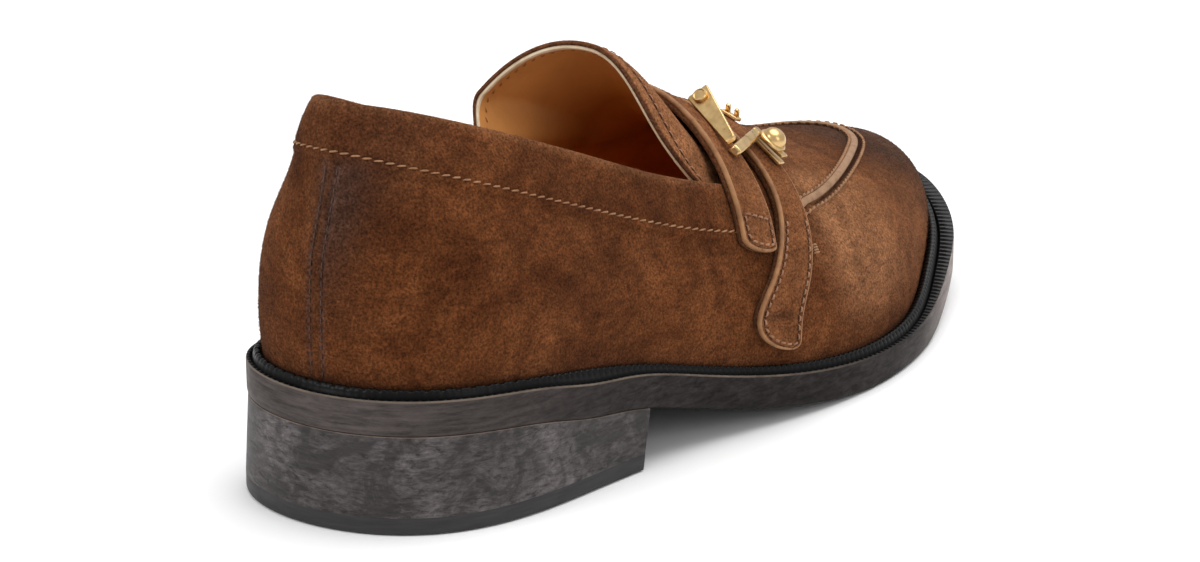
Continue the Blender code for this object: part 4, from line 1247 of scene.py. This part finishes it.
def make_welt():
    """Storm welt: plain edge, ribbed outer band, groove, and a bead.

    The bead has a notch at each rib, and lobes at the heel.
    """
    columns = RIB_COUNT * RIB_COLUMNS
    turn = even_turns(0.0, 2.0, columns + 1, welt_edge)[:-1]
    away = np.abs(signed_turn(turn))
    beat = 2.0 * np.pi * np.arange(columns) / RIB_COLUMNS
    wide = margin(turn)
    bead = np.minimum(BEAD_WIDTH, wide * 0.52)
    bead_out = wide - BEAD_GAP - bead
    crest = 0.5 + 0.5 * np.cos(beat)
    rib = RIB_DEPTH * (crest - 1.0)
    groove = 0.6 - 0.6 * crest
    heel = smooth(away, *LOBED)
    lobe = LOBE_DEPTH * heel * smooth(0.5 + 0.5 * np.cos(beat / 2.0), 0.60, 1.0)
    gap = np.maximum(0.55 * smooth(crest, 0.45, 0.95) * (1.0 - 0.6 * heel), lobe)
    notch = -NOTCH_DEPTH * gap
    flat = np.zeros_like(turn)
    full = np.ones_like(turn)
    # Rows: inset, rise, and painted shade in the grooves and notches
    profile = (
        (flat, flat - WELT_THICKNESS, flat),
        (flat, flat - 0.85, flat),
        (flat + 0.03, flat - 0.6, full),
        (flat + 0.18, flat - 0.2, full),
        (flat + 0.45, rib, groove),
        (np.maximum(bead_out - 0.85, 0.8), rib, groove),
        (np.maximum(bead_out - 0.6, 0.9), flat - 0.9, full),
        (np.maximum(bead_out - 0.1, 1.0), flat - 0.8, full),
        (bead_out + 0.10 * bead, 1.0 + 0.3 * notch, 0.5 * gap),
        (bead_out + 0.28 * bead, BEAD_HEIGHT - 0.25 + 0.6 * notch, 0.8 * gap),
        (bead_out + 0.48 * bead, BEAD_HEIGHT + 0.85 * notch, gap),
        (bead_out + 0.68 * bead, BEAD_HEIGHT - 0.05 + notch + 0.3 * rib, gap),
        (bead_out + 0.90 * bead, BEAD_HEIGHT - 0.45 + notch + 0.5 * rib, np.maximum(gap, 0.3)),
        (bead_out + bead, flat + 0.2, full),
        (wide + WALL + FIT, flat, full),
    )
    rows, marks = [], np.stack([mark for _, _, mark in profile])
    for inset, rise, _ in profile:
        hang = dip(turn) * (1.0 - smooth(inset, bead_out, wide))
        rows.append(outline(turn, inset, welt_top(turn) + rise - hang))
    # pale line on the welt's rim: a painted highlight
    line = marks[:EDGE_ROWS] * smooth(away, *LINED)
    edge = np.stack(rows[:EDGE_ROWS])
    add_piece("welt_edge", edge, grid_faces(EDGE_ROWS, columns, 0, True), SOLE_LOOK, "welt",
              fields={"line": line, "painted_highlight": np.broadcast_to(painted_highlight(turn), (EDGE_ROWS, columns))})
    upper = np.stack(rows[EDGE_ROWS - 1:])
    # painted shade: grooves and notches, and all but the toe darker and less glossy
    depth = np.maximum(marks[EDGE_ROWS - 1:], WELT_SHADE * smooth(away, *WELT_SHADE_END))
    depth[0] = 0.0
    add_piece("welt_ring", upper, grid_faces(len(upper), columns, 0, True), WELT_LOOK, "welt", ("welt",),
              sharp=70.0, fields={"depth": depth})


def ring_piece(name, profile, material, slot, stands_for, columns=300):
    """Closed slab from (inset, height, line, end along the sole) rows, foot first, flat on both faces."""
    rows, lines, highlights = [], [], []
    for inset, height, line, y_end in profile:
        outer = even_turns(0.0, float(turn_at(y_end)), columns, welt_edge)
        inner = outer[-2:0:-1] if y_end == SOLE_LENGTH else outer[:0:-1]
        turn = np.concatenate([outer, 2.0 - inner])
        rows.append(outline(turn, np.full(turn.shape, inset), height(turn)))
        lines.append(np.full(turn.shape, line))
        highlights.append(painted_highlight(turn) * (slot == "sole"))
    size = len(rows[0])
    faces = grid_faces(len(profile), size, 0, True)
    for first in (0, size * (len(profile) - 1)):
        for i in range(columns - 1):
            corners = [i, i + 1, (size - i - 1) % size, (size - i) % size]
            faces.append([first + c for c in dict.fromkeys(corners)])
    add_piece(name, np.stack(rows), faces, material, slot, stands_for, sharp=40.0,
              fields={"line": np.stack(lines), "painted_highlight": np.stack(highlights)})


def make_sole():
    def at(share, rise):
        """Height at a share of the way from the tread to the welt, plus a rise."""
        return lambda turn: (sole_foot(turn) * (1.0 - share)
                             + (welt_top(turn) - WELT_THICKNESS) * share + rise - dip(turn))

    profile = [(inset, at(share, rise), 0.0, SOLE_LENGTH) for inset, share, rise in SOLE_ROWS]
    ring_piece("sole_slab", profile, SOLE_LOOK, "sole", ("outsole",))


def make_heel():
    foot_inset = HEEL_INSET - HEEL_FLARE
    heel_height = float(sole_foot(0.0))

    def breast(z):
        return HEEL_BREAST_FOOT + (HEEL_BREAST_TOP - HEEL_BREAST_FOOT) * z / heel_height

    profile = [(foot_inset + inset, lambda turn, z=z: np.full(np.shape(turn), z), 0.0, float(breast(z)))
               for inset, z in LIFT_ROWS]
    ring_piece("heel_lift", profile, LIFT_LOOK, "top_lift", ("top_lift",), HEEL_COLUMNS)
    profile = []
    for layer in range(HEEL_LAYERS):
        for share, groove in LAYER_ROWS:
            place = (layer + share) / HEEL_LAYERS

            def height(turn, place=place):
                return LIFT_THICKNESS + (sole_foot(turn) - dip(turn) - LIFT_THICKNESS) * place

            inset = foot_inset + HEEL_FLARE * place + groove
            line = 1.0 if place == 1.0 else 0.0
            end = float(breast(LIFT_THICKNESS + (heel_height - LIFT_THICKNESS) * place))
            profile.append((inset, height, line, end))
    ring_piece("heel_stack_slab", profile, HEEL_LOOK, "heel", ("heel_stack",), HEEL_COLUMNS)


make_welt()
make_sole()
make_heel()


# Clasp: radii of the lever's corners, then rows of radius and height, the stud's as shares of its radius

LEVER_CORNERS = (0.9, 0.4, 1.1)
PIN_PROFILE = ((2.15, 0.0), (2.15, 0.15), (2.3, 0.35), (2.3, 0.9), (2.1, 1.15), (1.75, 1.2), (1.55, 1.02),
               (0.3, 1.05))
STUD_RIM = ((0.92, 0.0), (1.0, 0.35), (1.0, 0.9), (0.94, 1.2), (0.86, 1.3))
STUD_DOME = 0.84


def strap_frame(place):
    """Point over a strap, with the directions forward along the shoe and out of the strap."""
    turn, v = strap_place(np.array(place[0]), np.array(place[1]))
    out = last_normal(turn, v)
    forward = np.array([0.0, 1.0, 0.0])
    forward = unit(forward - out * forward.dot(out))
    return lifted(turn, v, STRAP_FIT + STRAP_THICKNESS + place[2]), forward, out


def bar_mesh(stations):
    """Closed bar through stations of (centre, side, normal, width, thickness)."""
    points = []
    for centre, side, normal, width, thickness in stations:
        across, deep = side * (width / 2.0), normal * (thickness / 2.0)
        points += [centre - across - deep, centre + across - deep,
                   centre + across + deep, centre - across + deep]
    faces = grid_faces(len(stations), 4, 0, True)
    end = 4 * len(stations) - 4
    return np.array(points), faces + [[3, 2, 1, 0], [end, end + 1, end + 2, end + 3]]


def metal(name, points, faces, stands_for, width):
    piece = add_piece(name, points, faces, BRASS, "brass", stands_for, sharp=35.0)
    body = bmesh.new()
    body.from_mesh(piece.data)
    bmesh.ops.recalc_face_normals(body, faces=body.faces)
    body.to_mesh(piece.data)
    body.free()
    if width:
        bevel = piece.modifiers.new("edges", "BEVEL")
        bevel.width = width * MM
        bevel.segments = 3
        bevel.limit_method = "ANGLE"


def turned(name, centre, axis, profile, stands_for, sides=64):
    """Solid turned round an axis from (radius, height) rows."""
    spin = np.array(Vector(axis).to_track_quat("Z", "Y").to_matrix())
    swing = np.linspace(0.0, 2.0 * np.pi, sides, endpoint=False)
    rows = [np.stack([radius * np.cos(swing), radius * np.sin(swing), np.full(sides, height)], -1)
            for radius, height in profile]
    points = np.concatenate(rows) @ spin.T + centre
    faces = grid_faces(len(profile), sides, 0, True)
    last = sides * (len(profile) - 1)
    faces += [list(range(sides))[::-1], list(range(last, last + sides))]
    metal(name, points, faces, stands_for, 0.0)


def plate_mesh(corners, origin, right, down, normal, thickness):
    """Flat plate from corners given along its right and down directions."""
    flat = origin + np.outer([c[0] for c in corners], right) + np.outer([c[1] for c in corners], down)
    size = len(corners)
    points = np.concatenate([flat - normal * (thickness / 2.0), flat + normal * (thickness / 2.0)])
    return points, grid_faces(2, size, 0, True) + [list(range(size))[::-1], list(range(size, 2 * size))]


def corner_arc(middle, radius, start, end, count=6):
    """Points of an arc, with its angles in degrees, for a plate's rounded corner."""
    return [(middle[0] + radius * math.cos(math.radians(a)), middle[1] + radius * math.sin(math.radians(a)))
            for a in np.linspace(start, end, count)]


def make_lever():
    top, forward, out = strap_frame(LEVER_TOP)
    foot, _, _ = strap_frame(LEVER_FOOT)
    along, length = unit(foot - top), float(np.linalg.norm(foot - top))
    side = forward * math.cos(LEVER_TILT) + out * math.sin(LEVER_TILT)
    side = unit(side - along * side.dot(along))
    face = np.cross(along, side)
    wide, narrow = (width / 2.0 for width in LEVER_WIDTHS)
    near, far, low = LEVER_CORNERS
    corners = (corner_arc((-wide + near, near), near, 180.0, 270.0)
               + corner_arc((wide - far, far), far, 270.0, 360.0)
               + corner_arc((narrow - low, length - low), low, 0.0, 90.0) + [(-narrow, length)])
    metal("clasp_lever", *plate_mesh(corners, top, side, along, face, LEVER_THICKNESS), ("lever",), 0.3)
    seat = top + along * PIN_FROM_END + face * (LEVER_THICKNESS / 2.0)
    turned("clasp_pin", seat, face, PIN_PROFILE, ("lever_pin",))


def make_hook():
    foot, _, out_foot = strap_frame(HOOK_FOOT)
    bend, forward, out = strap_frame(HOOK_BEND)
    tip, _, out_tip = strap_frame(HOOK_TIP)
    cross, down = unit(bend - foot), unit(tip - bend)
    half = HOOK_WIDTH / 2.0
    bar = bar_mesh([(foot, down, out_foot, HOOK_WIDTH, HOOK_THICKNESS),
                    (bend + cross * half, down, out, HOOK_WIDTH, HOOK_THICKNESS)])
    metal("clasp_hook", *bar, ("hook",), 0.7)
    rise = (HOOK_THICKNESS - LEG_THICKNESS) / 2.0
    legs = (("clasp_leg", rise, 1.0, 0.0), ("clasp_lower_leg", -rise, LOWER_LEG_SHARE, LIP_DROP))
    for name, lift, reach, drop in legs:
        start = bend - down * half * 0.8 + out * lift
        end = bend + (tip - bend) * reach + out_tip * (lift - drop)
        leg = bar_mesh([(start, forward, out, HOOK_WIDTH, LEG_THICKNESS),
                        (end, forward, out_tip, HOOK_WIDTH, LEG_THICKNESS)])
        metal(name, *leg, (), 0.4)
    axis = unit(out + out_tip)
    seat = bend + (tip - bend) * STUD_ON_LEG + axis * (HOOK_THICKNESS / 2.0)
    base = STUD_RIM[-1][1]
    dome = [(STUD_DOME * math.cos(a), base + (STUD_HEIGHT + 0.5 - base) * math.sin(a))
            for a in np.linspace(0.0, 1.5, 12)]
    profile = [(STUD_RADIUS * radius, height) for radius, height in (*STUD_RIM, *dome)]
    turned("clasp_stud", seat, axis, profile, ("stud",), 96)


def make_keeper():
    middle, forward, out = strap_frame(KEEPER)
    length, width, thickness = KEEPER_SIZE
    run = np.cross(forward, out)
    metal("clasp_keeper", *bar_mesh([(middle - run * (length / 2.0), forward, out, width, thickness),
                                     (middle + run * (length / 2.0), forward, out, width, thickness)]),
          ("keeper",), 0.35)
    lug_width, lug_thickness, lug_length = LUG_SIZE
    rise = out * math.cos(LUG_LEAN) - forward * math.sin(LUG_LEAN)
    flat = forward * math.cos(LUG_LEAN) + out * math.sin(LUG_LEAN)
    for name, place in (("clasp_lower_lug", -0.5), ("clasp_upper_lug", 0.5)):
        foot = middle + run * (LUG_SPACING * place) + forward * (width / 4.0)
        metal(name, *bar_mesh([(foot, run, flat, lug_width, lug_thickness),
                               (foot + rise * lug_length, run, flat, lug_width, lug_thickness)]), (), 0.5)


make_lever()
make_hook()
make_keeper()

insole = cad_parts["insole"]
insole.data.materials.clear()
insole.data.materials.append(SOCK)


# Floor, light and camera, in metres and watts. Lights: name, place, aim, size, power

FLOOR_REACH, FLOOR_DROP = 4.0, 0.0002
FLOOR_GREY = (0.93, 0.93, 0.93)
WORLD_STRENGTH = 0.66
LIGHTS = (
    ("top", (0.12, 0.35, 1.55), (0.0, 0.0, 0.0), 1.6, 21.0),
    ("left", (-0.6, -1.4, 1.1), (0.0, 0.0, 0.05), 0.9, 9.0),
    ("right", (1.6, -0.1, 0.9), (0.0, 0.0, 0.05), 0.9, 4.0),
)
SENSOR_WIDTH = 36.0


def add_light(name, place, target, size, power):
    data = bpy.data.lights.new(name, "AREA")
    data.shape = "DISK"
    data.size = size
    data.energy = power
    lamp = bpy.data.objects.new(name, data)
    lamp.location = place
    lamp.rotation_euler = (Vector(target) - Vector(place)).to_track_quat("-Z", "Y").to_euler()
    bpy.context.scene.collection.objects.link(lamp)


def make_stage():
    floor_mesh = bpy.data.meshes.new("floor")
    corners = ((-1.0, -1.0), (1.0, -1.0), (1.0, 1.0), (-1.0, 1.0))
    points = [(FLOOR_REACH * x, FLOOR_REACH * y, 0.0) for x, y in corners]
    floor_mesh.from_pydata(points, [], [(0, 1, 2, 3)])
    floor_mesh.materials.append(new_look("floor", FLOOR_GREY, 0.8)[0])
    floor = bpy.data.objects.new("floor", floor_mesh)
    floor.location.z = -FLOOR_DROP
    bpy.context.scene.collection.objects.link(floor)
    world = bpy.data.worlds.new("studio")
    bpy.context.scene.world = world
    world.use_nodes = True
    background = world.node_tree.nodes["Background"]
    background.inputs["Color"].default_value = (1.0, 1.0, 1.0, 1.0)
    background.inputs["Strength"].default_value = WORLD_STRENGTH
    for light in LIGHTS:
        add_light(*light)


def make_camera():
    a, e = CAMERA_AZIMUTH, CAMERA_ELEVATION
    back = Vector((math.sin(a) * math.cos(e), -math.cos(a) * math.cos(e), math.sin(e)))
    right = Vector((math.cos(a), math.sin(a), 0.0))
    up = back.cross(right)
    aim = (right * (SHOE_CENTRE[0] - PHOTO_CENTRE[0]) - up * (SHOE_CENTRE[1] - PHOTO_CENTRE[1])
           - back * PHOTO_FOCAL)
    data = bpy.data.cameras.new("camera")
    data.sensor_width = SENSOR_WIDTH
    data.lens = SENSOR_WIDTH * PHOTO_FOCAL / PHOTO_WIDTH * ZOOM
    data.clip_end = 20.0
    camera = bpy.data.objects.new("camera", data)
    camera.location = Vector(CAMERA_PLACE) * MM + Vector(SHIFT)
    camera.rotation_euler = aim.to_track_quat("-Z", "Y").to_euler()
    bpy.context.scene.collection.objects.link(camera)
    bpy.context.scene.camera = camera


make_stage()
make_camera()
bpy.context.scene.view_settings.view_transform = "Standard"

bpy.context.view_layer.update()
